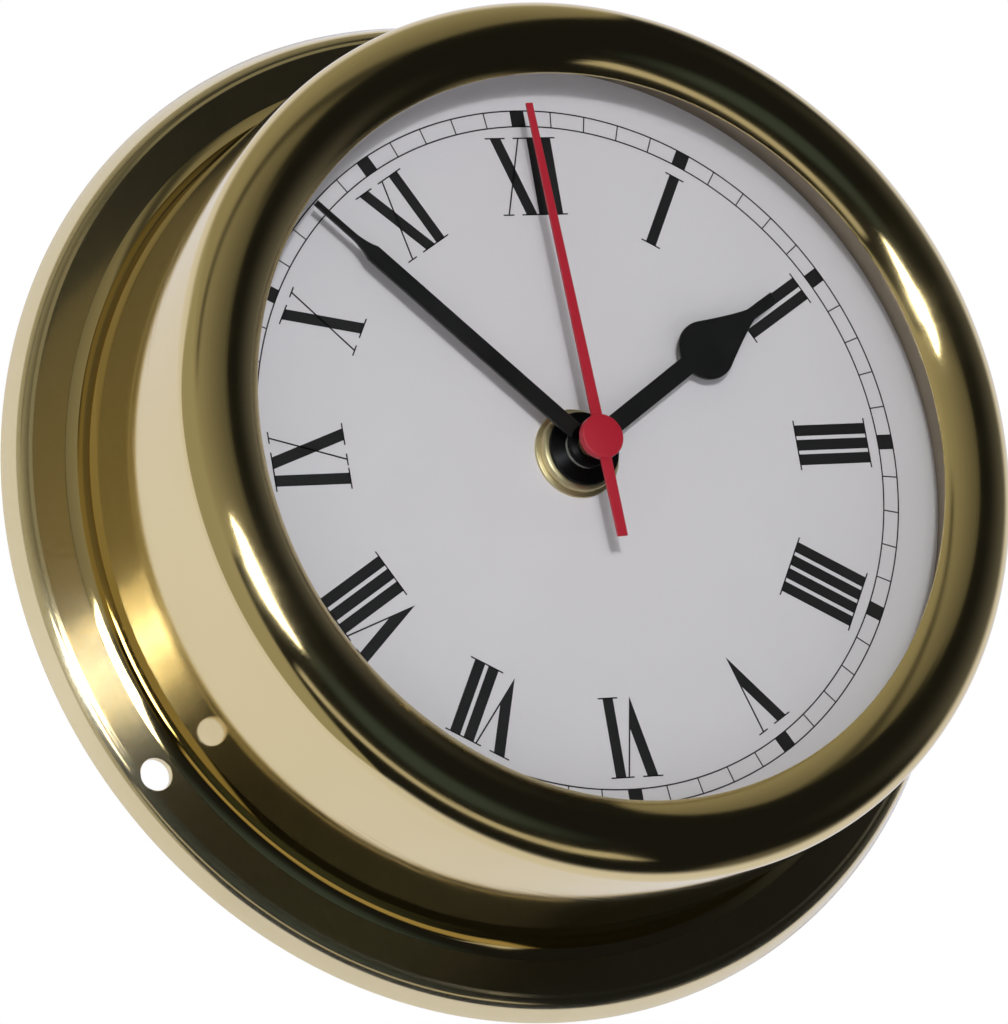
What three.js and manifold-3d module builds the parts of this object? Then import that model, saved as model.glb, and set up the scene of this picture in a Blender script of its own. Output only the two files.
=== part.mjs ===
// A brass ships clock: a round wall flange, a drum with a half-round bezel, a flat glass, a dial with
// three hands, and the quartz movement that drives them.
//
// Lengths are in millimetres. The clock is modelled lying on its back: the wall plane is z = 0, z points
// out of the dial and y points to twelve o'clock. The finished group is then stood up, so that +Z is
// twelve o'clock, the dial faces -Y and the wall is the plane y = 0.

import * as THREE from 'three';
import { mergeVertices } from 'three/addons/utils/BufferGeometryUtils.js';
import Module from 'manifold-3d';

const wasm = await Module();
wasm.setup();

// Clearances
const SEAT = 0.05; // between fixed faces that rest on each other
const RUN = 0.1; // radial, between a shaft and its hole
const PLAY = 0.25; // along the axis, between pieces that turn past each other

// Facets
const CASE_SIDES = 48;
const HUB_SIDES = 18;
const ARBOR_SIDES = 12;

// Bezel and drum
const DIAL_OPENING_RADIUS = 45.0; // inside of the bezel lip
const CROWN_INSET = 4.4; // from the lip out to the highest line of the bezel
const CROWN_WIDTH = 5.1; // from the highest line out to the drum wall
const CROWN_ABOVE_LIP = 2.1;
const CROWN_ROUND_HEIGHT = 3.7; // height of the outer rounding, down to the straight drum wall
const SHELL_WALL = 1.0;
const FOOT_STEP = 2.0; // from the drum out to the edge of the sloped foot
const FOOT_EDGE = 0.15; // thickness of that edge
const FOOT_CREST = 0.8; // how far the crest of the foot stands out of the drum
const FOOT_HEIGHT = 0.45;

// Wall flange
const FLANGE_BAND = 7.0; // from the foot out to the rim
const FLANGE_SHEET = 1.0;
const FLANGE_FACE = 3.5; // flat face above the wall
const RIM_LEAN = 1.0; // how far the rim leans in, from the wall up to its rounding
const RIM_ROUND_WIDTH = 1.2;
const RIM_ROUND_HEIGHT = 0.9;
const BAND_STEP_WIDTH = 0.5; // sloped step from the flat face down to the rounding
const BAND_STEP_DROP = 0.22;
const COLLAR_HEIGHT = 4.5; // collar that the drum is pushed over
const SCREW_HOLE_RADIUS = 2.0;
const SCREW_INSET = 2.7; // from the foot out to the screw circle
const SCREW_TURN = -1.2; // first hole, in degrees clockwise from twelve o'clock
const SCREW_COUNT = 3;

// Glass, dial and their rings
const GLASS_THICKNESS = 1.1;
const GLASS_REST = 1.2; // width of the spacer wall under the glass
const GASKET_WIDTH = 1.0;
const GASKET_LAP = 1.8; // how far the gasket laps over the glass
const GASKET_THICKNESS = 0.4;
const SPACER_INSET = 3.8; // from the lip out to the spacer's inner wall
const SPACER_FOOT = 1.2;
const DIAL_THICKNESS = 0.8;
const RETAINER_WIDTH = 2.6;
const RETAINER_THICKNESS = 1.5;

// Centre fixing
const BUSH_RADIUS = 4.0;
const BUSH_FLANGE_WIDTH = 2.0;
const BUSH_FLANGE_THICKNESS = 0.8;
const RUBBER_WASHER_WIDTH = 4.0;
const RUBBER_WASHER_THICKNESS = 0.5;
const BRASS_WASHER_WIDTH = 1.5;
const BRASS_WASHER_THICKNESS = 0.4;
const NUT_WIDTH = 1.0;
const NUT_THICKNESS = 1.2;
const NUT_CHAMFER = 0.3;
const BUSH_PROUD = 0.1; // how far the bush stands out of the nut

// Hands: sizes along the blade from the tip, half widths, and the angles they show, clockwise from twelve
const HAND_THICKNESS = 0.4;
const HOUR_ANGLE = 58;
const HOUR_TIP_GAP = 14.4; // from the tip out to the spacer
const HOUR_TIP_LENGTH = 4.2; // narrow tip beyond the neck
const HOUR_STEM_HALF = 1.17;
const HOUR_BULB_BELOW_TIP = 12.4;
const HOUR_BULB_RADIUS = 3.7;
const HOUR_BULB_SHOULDER = 25; // degrees above the bulb's middle, where the taper starts
const HOUR_NECK_HALF = 0.75;
const HOUR_TIP_HALF = 0.6;
const HOUR_EYE_RADIUS = 4.5;
const HOUR_EYE_HEIGHT = 0.6;
const MINUTE_ANGLE = 315.3;
const MINUTE_TIP_GAP = 5.2;
const MINUTE_TIP_LENGTH = 6.2;
const MINUTE_HALF = 1.1;
const MINUTE_SHOULDER_LENGTH = 2.8;
const MINUTE_TIP_HALF = 0.4;
const MINUTE_EYE_RADIUS = 2.7;
const MINUTE_EYE_HEIGHT = 0.9;
const MINUTE_LIFT = 0.6; // from the hour hand up to the minute hand's eye
const SECOND_ANGLE = 357.5;
const SECOND_TIP_GAP = 6.8;
const SECOND_TAIL = 12.3;
const SECOND_HUB_HALF = 0.72;
const SECOND_TIP_HALF = 0.42;
const SECOND_CAP_RADIUS = 2.72;
const SECOND_CAP_HEIGHT = 0.95;
const SECOND_CAP_ROUND = 0.3;
const SECOND_BLADE_LIFT = 0.2; // blade above the underside of the cap
const SECOND_LIFT = 2.1; // from the minute tube up to the cap
const MINUTE_TUBE_PROUD = 0.3;
const CAP_ROOF = 0.25; // cap left over the end of the second arbor
const GLASS_CLEARANCE = 0.17; // from the cap up to the glass

// Quartz movement housing
const HOUSING_CORNER = 4.0;
const HOUSING_WALL = 1.2;
const FRONT_PLATE = 1.2;
const COVER_PLATE = 1.2;
const BAY_WALL = 1.0;
const BACK_SPACE = 5.35; // free space between the setting knob and the wall
const KNOB_RADIUS = 5.0;
const KNOB_HEIGHT = 3.0;
const KNOB_FLUTES = 20;
const KNOB_FLUTE_DEPTH = 0.3;
const KNOB_SOCKET = 2.0;

// Cell: AA size
const CELL_RADIUS = 7.25;
const CELL_BODY_LENGTH = 49.4;
const CELL_CRIMP = 0.4;
const CELL_CAP_RADIUS = 2.75;
const CELL_CAP_LENGTH = 1.1;
const CELL_CLEARANCE = 0.2;
const CONTACT_SHEET = 0.3;
const CONTACT_HALF_WIDTH = 4.0;
const CONTACT_HEIGHT = 9.0;
const CONTACT_BOW = 2.3; // how far the sprung contact bows towards the cell

// Gear train: teeth
const ROTOR_PINION = 6;
const FIFTH_WHEEL = 30;
const FIFTH_PINION = 6;
const SECOND_WHEEL = 36;
const SECOND_PINION = 6;
const THIRD_WHEEL = 45;
const THIRD_PINION = 6;
const CENTRE_WHEEL = 48;
const CANNON_PINION = 10;
const MINUTE_WHEEL = 30;
const MINUTE_PINION = 8;
const HOUR_WHEEL = 32;
const SETTING_PINION = 10;

// Gear train: distances between axes and their directions, anticlockwise from three o'clock
const THIRD_REACH = 10.0;
const THIRD_TURN = 150;
const FIFTH_TURN = 75;
const ROTOR_REACH = 7.56;
const ROTOR_TURN = 25;
const MINUTE_REACH = 9.6;
const MINUTE_TURN = 20;
const SETTING_TURN = -10;

// Gear train: tooth form, in modules and in shares of the tooth pitch
const ADDENDUM = 0.75;
const DEDENDUM = 1.05;
const ROOT_HALF = 0.25;
const TIP_HALF = 0.1;

// Gear train: levels and arbors
const WHEEL_THICKNESS = 0.9;
const PINION_OVERLAP = 0.15; // pinion wider than its wheel, each side
const LEVEL_GAP = 0.8; // between the wheels of two levels
const FIRST_GAP = 1.25; // from the cover's bosses to the first wheel
const BOSS_GAP = 0.3; // between a wheel's teeth and the next boss
const POST_RADIUS = 0.9;
const ARBOR_RADIUS = 0.45;
const PIVOT_DEPTH = 0.8;
const BOSS_WALL = 0.45;
const COVER_BOSS = 1.6;
const SECOND_ARBOR_RADIUS = 0.55;
const MINUTE_TUBE_WALL = 0.9;
const HOUR_TUBE_WALL = 0.75;
const SETTING_ARBOR_RADIUS = 1.0;
const MAGNET_RADIUS = 2.6;
const MAGNET_HEIGHT = 3.0;
const ROTOR_GAP = 0.5; // between the magnet and the stator

// Motor and electronics
const STATOR_SHEET = 1.0;
const STATOR_LEG = 3.7;
const STATOR_RING = 1.4;
const COIL_LENGTH = 20.0;
const COIL_RADIUS = 2.6;
const BOBBIN_FLANGE = 0.4; // bobbin cheek standing out of the winding
const BOBBIN_CHEEK = 0.8;
const BOBBIN_WALL = 0.5;
const CORE_WIDTH = 2.0;
const CORE_SHEET = 0.8;
const BOARD_WIDTH = 15.0;
const BOARD_HEIGHT = 11.0;
const BOARD_THICKNESS = 1.0;
const BOARD_MARGIN = 0.8; // from the housing wall
const CHIP_RADIUS = 2.0;
const CHIP_HEIGHT = 0.9;
const CRYSTAL_RADIUS = 1.0;
const CRYSTAL_LENGTH = 6.0;
const CRYSTAL_ABOVE = 2.75; // from the middle of the board
const CHIP_BELOW = 2.75;

// Radii that follow
const crownRadius = DIAL_OPENING_RADIUS + CROWN_INSET;
const drumRadius = crownRadius + CROWN_WIDTH;
const drumBore = drumRadius - SHELL_WALL;
const footRadius = drumRadius + FOOT_STEP;
const flangeRadius = footRadius + FLANGE_BAND;
const collarRadius = drumBore - SEAT;
const ringRadius = drumBore - RUN; // rings pushed into the drum
const spacerRadius = DIAL_OPENING_RADIUS + SPACER_INSET;
const glassRadius = spacerRadius + GLASS_REST;
const hourLength = spacerRadius - HOUR_TIP_GAP;
const minuteLength = spacerRadius - MINUTE_TIP_GAP;
const secondLength = spacerRadius - SECOND_TIP_GAP;
const dialHole = BUSH_RADIUS + RUN;
const minuteTubeBore = SECOND_ARBOR_RADIUS + 2 * RUN;
const minuteTubeRadius = minuteTubeBore + MINUTE_TUBE_WALL;
const hourTubeBore = minuteTubeRadius + RUN;
const hourTubeRadius = hourTubeBore + HOUR_TUBE_WALL;
const bushBore = hourTubeRadius + RUN;

// Heights above the wall that follow, from the back to the front
const knobFront = BACK_SPACE + KNOB_HEIGHT;
const coverBack = knobFront + PLAY;
const coverFront = coverBack + COVER_PLATE;
const coverBossFront = coverFront + COVER_BOSS;
const firstLevel = coverBossFront + FIRST_GAP + WHEEL_THICKNESS / 2;
const level = (count) => firstLevel + count * (WHEEL_THICKNESS + LEVEL_GAP);
const FIFTH_LEVEL = 0;
const SECOND_LEVEL = 1;
const THIRD_LEVEL = 2;
const CENTRE_LEVEL = 3;
const MINUTE_LEVEL = 4;
const HOUR_LEVEL = 5;
const bushBack = level(HOUR_LEVEL) + WHEEL_THICKNESS / 2 + PLAY;
const plateBack = bushBack + BUSH_FLANGE_THICKNESS + SEAT;
const housingFront = plateBack + FRONT_PLATE;
const dialBack = housingFront + RUBBER_WASHER_THICKNESS + 2 * SEAT;
const dialFace = dialBack + DIAL_THICKNESS;
const brassWasherFront = dialFace + SEAT + BRASS_WASHER_THICKNESS;
const nutFront = brassWasherFront + SEAT + NUT_THICKNESS;
const bushFront = nutFront + BUSH_PROUD;
const hourEyeBack = bushFront + PLAY;
const hourFront = hourEyeBack + HOUR_EYE_HEIGHT;
const minuteEyeBack = hourFront + MINUTE_LIFT;
const minuteFront = minuteEyeBack + MINUTE_EYE_HEIGHT;
const minuteTubeFront = minuteFront + MINUTE_TUBE_PROUD;
const capBack = minuteTubeFront + SECOND_LIFT;
const capFront = capBack + SECOND_CAP_HEIGHT;
const glassBack = capFront + GLASS_CLEARANCE;
const glassFront = glassBack + GLASS_THICKNESS;
const lipHeight = glassFront + SEAT;
const crownHeight = lipHeight + CROWN_ABOVE_LIP;

// Finishes from the photograph
const FINISH = {
  brass: { color: 0xc9a85a, roughness: 0.12, metalness: 1.0 },
  plainBrass: { color: 0xb99c57, roughness: 0.35, metalness: 1.0 },
  steel: { color: 0xa9adb0, roughness: 0.35, metalness: 1.0 },
  copper: { color: 0xb4622f, roughness: 0.4, metalness: 1.0 },
  magnet: { color: 0x4c4a48, roughness: 0.5, metalness: 0.6 },
  glass: { color: 0xf2f6f6, roughness: 0.03, metalness: 0.0, transparent: true, opacity: 0.15 },
  rubber: { color: 0x1b1b1c, roughness: 0.85, metalness: 0.0 },
  dial: { color: 0xcfcdd0, roughness: 0.6, metalness: 0.0 },
  blackPaint: { color: 0x131314, roughness: 0.45, metalness: 0.0 },
  redPaint: { color: 0xa81f30, roughness: 0.45, metalness: 0.0 },
  blackPlastic: { color: 0x1f2021, roughness: 0.6, metalness: 0.0 },
  whitePlastic: { color: 0xe6e4dc, roughness: 0.55, metalness: 0.0 },
  board: { color: 0x2f6a44, roughness: 0.5, metalness: 0.0 },
  cell: { color: 0x8c9196, roughness: 0.35, metalness: 0.5 },
};

// Solids

// Turns a closed geometry into a solid, with its shared corners merged and its faces pointing out.
function solid(geometry) {
  const bare = geometry.clone();
  bare.deleteAttribute('normal');
  bare.deleteAttribute('uv');
  const merged = mergeVertices(bare, 1e-4);
  const corner = merged.attributes.position;
  const index = merged.index.array;
  const triangles = [];
  let volume = 0;
  const a = new THREE.Vector3();
  const b = new THREE.Vector3();
  const c = new THREE.Vector3();
  for (let i = 0; i < index.length; i += 3) {
    const [p, q, r] = [index[i], index[i + 1], index[i + 2]];
    if (p === q || q === r || r === p) continue;
    triangles.push([p, q, r]);
    a.fromBufferAttribute(corner, p);
    b.fromBufferAttribute(corner, q);
    c.fromBufferAttribute(corner, r);
    volume += a.dot(b.cross(c));
  }
  const outward = volume < 0 ? triangles.map(([p, q, r]) => [p, r, q]) : triangles;
  return new wasm.Manifold(new wasm.Mesh({
    numProp: 3,
    vertProperties: new Float32Array(corner.array),
    triVerts: new Uint32Array(outward.flat()),
  }));
}

function geometryOf(body) {
  const mesh = body.getMesh();
  const geometry = new THREE.BufferGeometry();
  geometry.setAttribute('position', new THREE.BufferAttribute(new Float32Array(mesh.vertProperties), 3));
  geometry.setIndex(new THREE.BufferAttribute(new Uint32Array(mesh.triVerts), 1));
  geometry.computeVertexNormals();
  return geometry;
}

// A closed profile of [radius, height] corners, turned about the z axis.
function revolve(profile, sides) {
  const corners = profile.map(([radius, height]) => new THREE.Vector2(radius, height));
  corners.push(corners[0].clone());
  return solid(new THREE.LatheGeometry(corners, sides).rotateX(Math.PI / 2));
}

function ring(inner, outer, back, front, sides) {
  return revolve([[inner, back], [outer, back], [outer, front], [inner, front]], sides);
}

function rod(radius, back, front, sides) {
  return revolve([[0, back], [radius, back], [radius, front], [0, front]], sides);
}

function plate(shape, back, front, curveSegments = 6) {
  const depth = front - back;
  const geometry = new THREE.ExtrudeGeometry(shape, { depth, bevelEnabled: false, curveSegments });
  return solid(geometry.translate(0, 0, back));
}

function box(low, high) {
  const size = high.map((value, axis) => value - low[axis]);
  const middle = high.map((value, axis) => (value + low[axis]) / 2);
  return solid(new THREE.BoxGeometry(...size).translate(...middle));
}

// Points on a quarter of an ellipse from one angle to another, in degrees, without the first point.
function arc(centre, radii, from, to, steps) {
  const points = [];
  for (let step = 1; step <= steps; step += 1) {
    const angle = THREE.MathUtils.degToRad(from + ((to - from) * step) / steps);
    points.push([centre[0] + radii[0] * Math.cos(angle), centre[1] + radii[1] * Math.sin(angle)]);
  }
  return points;
}

function polar(reach, degrees) {
  const angle = THREE.MathUtils.degToRad(degrees);
  return new THREE.Vector2(reach * Math.cos(angle), reach * Math.sin(angle));
}

function at(body, place) {
  return body.translate([place.x, place.y, 0]);
}

const clock = new THREE.Group();

function add(name, body, finish, { place = new THREE.Vector2(), clockwise = 0 } = {}) {
  const mesh = new THREE.Mesh(geometryOf(body), new THREE.MeshStandardMaterial(finish));
  mesh.name = name;
  mesh.position.set(place.x, place.y, 0);
  mesh.rotation.z = -THREE.MathUtils.degToRad(clockwise);
  clock.add(mesh);
}

// Wall flange: a pressed sheet with a leaning rim, a sloped step, a flat band with screw holes and a collar
function mountingFlange() {
  const rimTop = FLANGE_FACE - BAND_STEP_DROP;
  const rimRadius = flangeRadius - RIM_LEAN;
  const roundInner = rimRadius - RIM_ROUND_WIDTH;
  const roundBack = rimTop - RIM_ROUND_HEIGHT;
  const underside = FLANGE_FACE - FLANGE_SHEET;
  const profile = [
    [flangeRadius, 0],
    [rimRadius, roundBack],
    ...arc([roundInner, roundBack], [RIM_ROUND_WIDTH, RIM_ROUND_HEIGHT], 0, 90, 3),
    [roundInner - BAND_STEP_WIDTH, FLANGE_FACE],
    [collarRadius, FLANGE_FACE],
    [collarRadius, FLANGE_FACE + COLLAR_HEIGHT],
    [collarRadius - FLANGE_SHEET, FLANGE_FACE + COLLAR_HEIGHT],
    [collarRadius - FLANGE_SHEET, underside],
    [roundInner - BAND_STEP_WIDTH, underside],
    [rimRadius - FLANGE_SHEET, underside - RIM_ROUND_HEIGHT / 2],
    [flangeRadius - FLANGE_SHEET, 0],
  ];
  let body = revolve(profile, CASE_SIDES);
  for (let hole = 0; hole < SCREW_COUNT; hole += 1) {
    const place = polar(footRadius + SCREW_INSET, 90 - SCREW_TURN - (360 * hole) / SCREW_COUNT);
    const drill = rod(SCREW_HOLE_RADIUS, underside - FLANGE_SHEET, FLANGE_FACE + FLANGE_SHEET, HUB_SIDES);
    body = body.subtract(at(drill, place));
  }
  return body;
}

// Drum and bezel: one spun sheet, with a sloped foot below and a half-round bezel that turns in to a lip
function caseShell() {
  const foot = FLANGE_FACE + SEAT;
  const spring = crownHeight - CROWN_ROUND_HEIGHT;
  const crownAbove = CROWN_ABOVE_LIP;
  const outerMiddle = [crownRadius, spring];
  const innerMiddle = [crownRadius, lipHeight];
  const wall = SHELL_WALL;
  return revolve([
    [drumBore, foot],
    [footRadius, foot],
    [footRadius, foot + FOOT_EDGE],
    [drumRadius + FOOT_CREST, foot + FOOT_HEIGHT],
    [drumRadius, foot + FOOT_HEIGHT],
    [drumRadius, spring],
    ...arc(outerMiddle, [CROWN_WIDTH, CROWN_ROUND_HEIGHT], 0, 90, 6),
    ...arc(innerMiddle, [CROWN_INSET, crownAbove], 90, 180, 4),
    [DIAL_OPENING_RADIUS + wall, lipHeight],
    ...arc(innerMiddle, [CROWN_INSET - wall, crownAbove - wall], 180, 90, 2),
    ...arc(outerMiddle, [CROWN_WIDTH - wall, CROWN_ROUND_HEIGHT - wall], 90, 0, 3),
  ], CASE_SIDES);
}

// Gasket: an angle ring round the edge of the glass and over its face, inside the hollow of the bezel
function glassGasket() {
  const inner = glassRadius + SEAT;
  const outer = inner + GASKET_WIDTH;
  const top = glassFront + SEAT + GASKET_THICKNESS;
  return revolve([
    [inner, glassBack],
    [outer, glassBack],
    [outer, top],
    [glassRadius - GASKET_LAP, top],
    [glassRadius - GASKET_LAP, glassFront + SEAT],
    [inner, glassFront + SEAT],
  ], CASE_SIDES);
}

// Spacer: an angle ring whose foot lies on the dial and whose wall holds the glass up to the lip
function spacerRing() {
  const back = dialFace + SEAT;
  return revolve([
    [spacerRadius, back],
    [ringRadius, back],
    [ringRadius, back + SPACER_FOOT],
    [glassRadius, back + SPACER_FOOT],
    [glassRadius, glassBack - SEAT],
    [spacerRadius, glassBack - SEAT],
  ], CASE_SIDES);
}

add('mounting_flange', mountingFlange(), FINISH.brass);
add('case_shell', caseShell(), FINISH.brass);
add('glass', rod(glassRadius, glassBack, glassFront, CASE_SIDES), FINISH.glass);
add('glass_gasket', glassGasket(), FINISH.rubber);
add('spacer_ring', spacerRing(), FINISH.plainBrass);
add('dial', ring(dialHole, ringRadius, dialBack, dialFace, CASE_SIDES), FINISH.dial);
const retainerFront = dialBack - SEAT;
const retainer = ring(
  ringRadius - RETAINER_WIDTH,
  ringRadius,
  retainerFront - RETAINER_THICKNESS,
  retainerFront,
  CASE_SIDES,
);
add('dial_retaining_ring', retainer, FINISH.steel);

// Centre fixing: a threaded bush through the housing and the dial, with its washers and nut
const bush = revolve([
  [bushBore, bushBack],
  [BUSH_RADIUS + BUSH_FLANGE_WIDTH, bushBack],
  [BUSH_RADIUS + BUSH_FLANGE_WIDTH, bushBack + BUSH_FLANGE_THICKNESS],
  [BUSH_RADIUS, bushBack + BUSH_FLANGE_THICKNESS],
  [BUSH_RADIUS, bushFront],
  [bushBore, bushFront],
], HUB_SIDES);
const nut = revolve([
  [dialHole, brassWasherFront + SEAT],
  [BUSH_RADIUS + NUT_WIDTH, brassWasherFront + SEAT],
  [BUSH_RADIUS + NUT_WIDTH, nutFront - NUT_CHAMFER],
  [BUSH_RADIUS + NUT_WIDTH - NUT_CHAMFER, nutFront],
  [dialHole, nutFront],
], HUB_SIDES);
const rubberWasher = ring(
  dialHole,
  BUSH_RADIUS + RUBBER_WASHER_WIDTH,
  housingFront + SEAT,
  dialBack - SEAT,
  HUB_SIDES,
);
const brassWasher = ring(
  dialHole,
  BUSH_RADIUS + BRASS_WASHER_WIDTH,
  dialFace + SEAT,
  brassWasherFront,
  HUB_SIDES,
);
add('threaded_bush', bush, FINISH.plainBrass);
add('rubber_washer', rubberWasher, FINISH.rubber);
add('brass_washer', brassWasher, FINISH.plainBrass);
add('bush_nut', nut, FINISH.plainBrass);

// Axes of the train, on the dial plane; the fifth wheel's boss just clears the centre wheel
const moduleOf = (reach, teethA, teethB) => (2 * reach) / (teethA + teethB);
const tipOf = (teeth, module) => (teeth / 2 + ADDENDUM) * module;
const bossRadius = ARBOR_RADIUS + RUN + BOSS_WALL;
const centreTip = tipOf(CENTRE_WHEEL, moduleOf(THIRD_REACH, THIRD_PINION, CENTRE_WHEEL));
const fifthReach = centreTip + BOSS_GAP + bossRadius;
const centre = new THREE.Vector2();
const thirdAxis = polar(THIRD_REACH, THIRD_TURN);
const fifthAxis = polar(fifthReach, FIFTH_TURN);
const rotorAxis = polar(ROTOR_REACH, ROTOR_TURN).add(fifthAxis);
const minuteAxis = polar(MINUTE_REACH, MINUTE_TURN);
const settingReach = (MINUTE_REACH * (MINUTE_WHEEL + SETTING_PINION)) / (MINUTE_WHEEL + CANNON_PINION);
const settingAxis = polar(settingReach, SETTING_TURN).add(minuteAxis);

// A gear of straight-sided teeth, its first tooth at the given phase, in radians from three o'clock.
function gear({ teeth, module, phase }, back, front) {
  const pitch = (2 * Math.PI) / teeth;
  const pitchRadius = (teeth * module) / 2;
  const root = pitchRadius - DEDENDUM * module;
  const tip = pitchRadius + ADDENDUM * module;
  const outline = [];
  for (let tooth = 0; tooth < teeth; tooth += 1) {
    const middle = phase + tooth * pitch;
    const corners = [[root, -ROOT_HALF], [tip, -TIP_HALF], [tip, TIP_HALF], [root, ROOT_HALF]];
    for (const [radius, share] of corners) {
      const angle = middle + share * pitch;
      outline.push(new THREE.Vector2(radius * Math.cos(angle), radius * Math.sin(angle)));
    }
  }
  return plate(new THREE.Shape(outline), back, front);
}

// The phase that lets a gear mesh with one that already has its phase: a tooth faces a gap.
function meshing(driver, driverAxis, teeth, axis) {
  const line = Math.atan2(axis.y - driverAxis.y, axis.x - driverAxis.x);
  const share = ((line - driver.phase) * driver.teeth) / (2 * Math.PI);
  const phase = line + Math.PI - ((0.5 - share) * 2 * Math.PI) / teeth;
  return { teeth, module: driver.module, phase };
}

// The first gear of a pair: its module follows from the distance to the other axis.
function leading(teeth, otherTeeth, reach) {
  return { teeth, module: moduleOf(reach, teeth, otherTeeth), phase: 0 };
}

const secondWheelGear = leading(SECOND_WHEEL, FIFTH_PINION, fifthReach);
const fifthPinionGear = meshing(secondWheelGear, centre, FIFTH_PINION, fifthAxis);
const fifthWheelGear = leading(FIFTH_WHEEL, ROTOR_PINION, ROTOR_REACH);
const rotorPinionGear = meshing(fifthWheelGear, fifthAxis, ROTOR_PINION, rotorAxis);
const secondPinionGear = leading(SECOND_PINION, THIRD_WHEEL, THIRD_REACH);
const thirdWheelGear = meshing(secondPinionGear, centre, THIRD_WHEEL, thirdAxis);
const thirdPinionGear = leading(THIRD_PINION, CENTRE_WHEEL, THIRD_REACH);
const centreWheelGear = meshing(thirdPinionGear, thirdAxis, CENTRE_WHEEL, centre);
const cannonGear = leading(CANNON_PINION, MINUTE_WHEEL, MINUTE_REACH);
const minuteWheelGear = meshing(cannonGear, centre, MINUTE_WHEEL, minuteAxis);
const minutePinionGear = leading(MINUTE_PINION, HOUR_WHEEL, MINUTE_REACH);
const hourWheelGear = meshing(minutePinionGear, minuteAxis, HOUR_WHEEL, centre);
const settingPinionGear = meshing(minuteWheelGear, minuteAxis, SETTING_PINION, settingAxis);

const wheelBack = (count) => level(count) - WHEEL_THICKNESS / 2;
const wheelFront = (count) => level(count) + WHEEL_THICKNESS / 2;
const pinionBack = (count) => wheelBack(count) - PINION_OVERLAP;
const pinionFront = (count) => wheelFront(count) + PINION_OVERLAP;
const wheelAt = (spec, count) => gear(spec, wheelBack(count), wheelFront(count));
const pinionAt = (spec, count) => gear(spec, pinionBack(count), pinionFront(count));

// Where arbors end: a pivot's depth inside the boss that carries it
const pivotBack = coverBossFront - PIVOT_DEPTH;
const thirdBossBack = pinionFront(CENTRE_LEVEL) + PLAY;
const fifthBossBack = pinionFront(SECOND_LEVEL) + PLAY;
const magnetBack = pinionFront(FIFTH_LEVEL) + PLAY;
const magnetFront = magnetBack + MAGNET_HEIGHT;
const rotorBossBack = magnetFront + PLAY;
const settingBossBack = pinionFront(MINUTE_LEVEL) + PLAY;

// Rotor: a pinion on its arbor, with the magnet pushed on in front
const arborTo = (front) => rod(ARBOR_RADIUS, pivotBack, front + PIVOT_DEPTH, ARBOR_SIDES);
const rotorPinion = pinionAt(rotorPinionGear, FIFTH_LEVEL).add(arborTo(rotorBossBack));
const magnet = ring(ARBOR_RADIUS + SEAT, MAGNET_RADIUS, magnetBack, magnetFront, HUB_SIDES);
add('rotor_pinion', rotorPinion, FINISH.steel, { place: rotorAxis });
add('rotor_magnet', magnet, FINISH.magnet, { place: rotorAxis });

// Going train: each wheel carries the pinion that stands in front of it
function wheelAndPinion(wheelGear, pinionGear, count) {
  const pinion = gear(pinionGear, wheelFront(count) - SEAT, pinionFront(count + 1));
  return wheelAt(wheelGear, count).add(pinion);
}

function bored(body, radius, sides) {
  return body.subtract(rod(radius, coverFront, capFront, sides));
}

const fifthWheel = wheelAndPinion(fifthWheelGear, fifthPinionGear, FIFTH_LEVEL).add(arborTo(fifthBossBack));
const secondWheel = wheelAndPinion(secondWheelGear, secondPinionGear, SECOND_LEVEL);
const secondArbor = rod(SECOND_ARBOR_RADIUS, pivotBack, capFront - CAP_ROOF - SEAT, ARBOR_SIDES);
const thirdWheel = wheelAndPinion(thirdWheelGear, thirdPinionGear, THIRD_LEVEL).add(arborTo(thirdBossBack));
const centreWheel = wheelAt(centreWheelGear, CENTRE_LEVEL);
add('fifth_wheel', fifthWheel, FINISH.whitePlastic, { place: fifthAxis });
add('second_wheel', bored(secondWheel, SECOND_ARBOR_RADIUS + SEAT, ARBOR_SIDES), FINISH.whitePlastic);
add('second_arbor', secondArbor, FINISH.steel);
add('third_wheel', thirdWheel, FINISH.whitePlastic, { place: thirdAxis });
add('centre_wheel', bored(centreWheel, minuteTubeRadius + RUN, HUB_SIDES), FINISH.whitePlastic);

// Motion work: the minute tube with its pinion, the wheel on a fixed post, and the hour tube with its wheel
const minuteTube = rod(minuteTubeRadius, pinionBack(CENTRE_LEVEL), minuteTubeFront, HUB_SIDES);
const cannonPinion = pinionAt(cannonGear, MINUTE_LEVEL).add(minuteTube);
const postBack = wheelBack(MINUTE_LEVEL) + SEAT;
const minuteWheel = wheelAndPinion(minuteWheelGear, minutePinionGear, MINUTE_LEVEL);
const hourTube = rod(hourTubeRadius, wheelBack(HOUR_LEVEL), hourFront, HUB_SIDES);
const hourWheel = wheelAt(hourWheelGear, HOUR_LEVEL).add(hourTube);
add('cannon_pinion', bored(cannonPinion, minuteTubeBore, HUB_SIDES), FINISH.plainBrass);
const minuteWheelBored = bored(minuteWheel, POST_RADIUS + RUN, HUB_SIDES);
add('minute_wheel', minuteWheelBored, FINISH.whitePlastic, { place: minuteAxis });
add('hour_wheel', bored(hourWheel, hourTubeBore, HUB_SIDES), FINISH.whitePlastic);

// Setting work: a pinion on an arbor that comes out through the cover, and the fluted knob on its end
const arborSocket = knobFront - KNOB_SOCKET;
const settingShaft = rod(SETTING_ARBOR_RADIUS, arborSocket + SEAT, pinionFront(MINUTE_LEVEL), HUB_SIDES);
const settingPivot = rod(ARBOR_RADIUS, pinionBack(MINUTE_LEVEL), settingBossBack + PIVOT_DEPTH, ARBOR_SIDES);
const settingArbor = pinionAt(settingPinionGear, MINUTE_LEVEL).add(settingShaft).add(settingPivot);
add('setting_arbor', settingArbor, FINISH.steel, { place: settingAxis });

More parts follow.
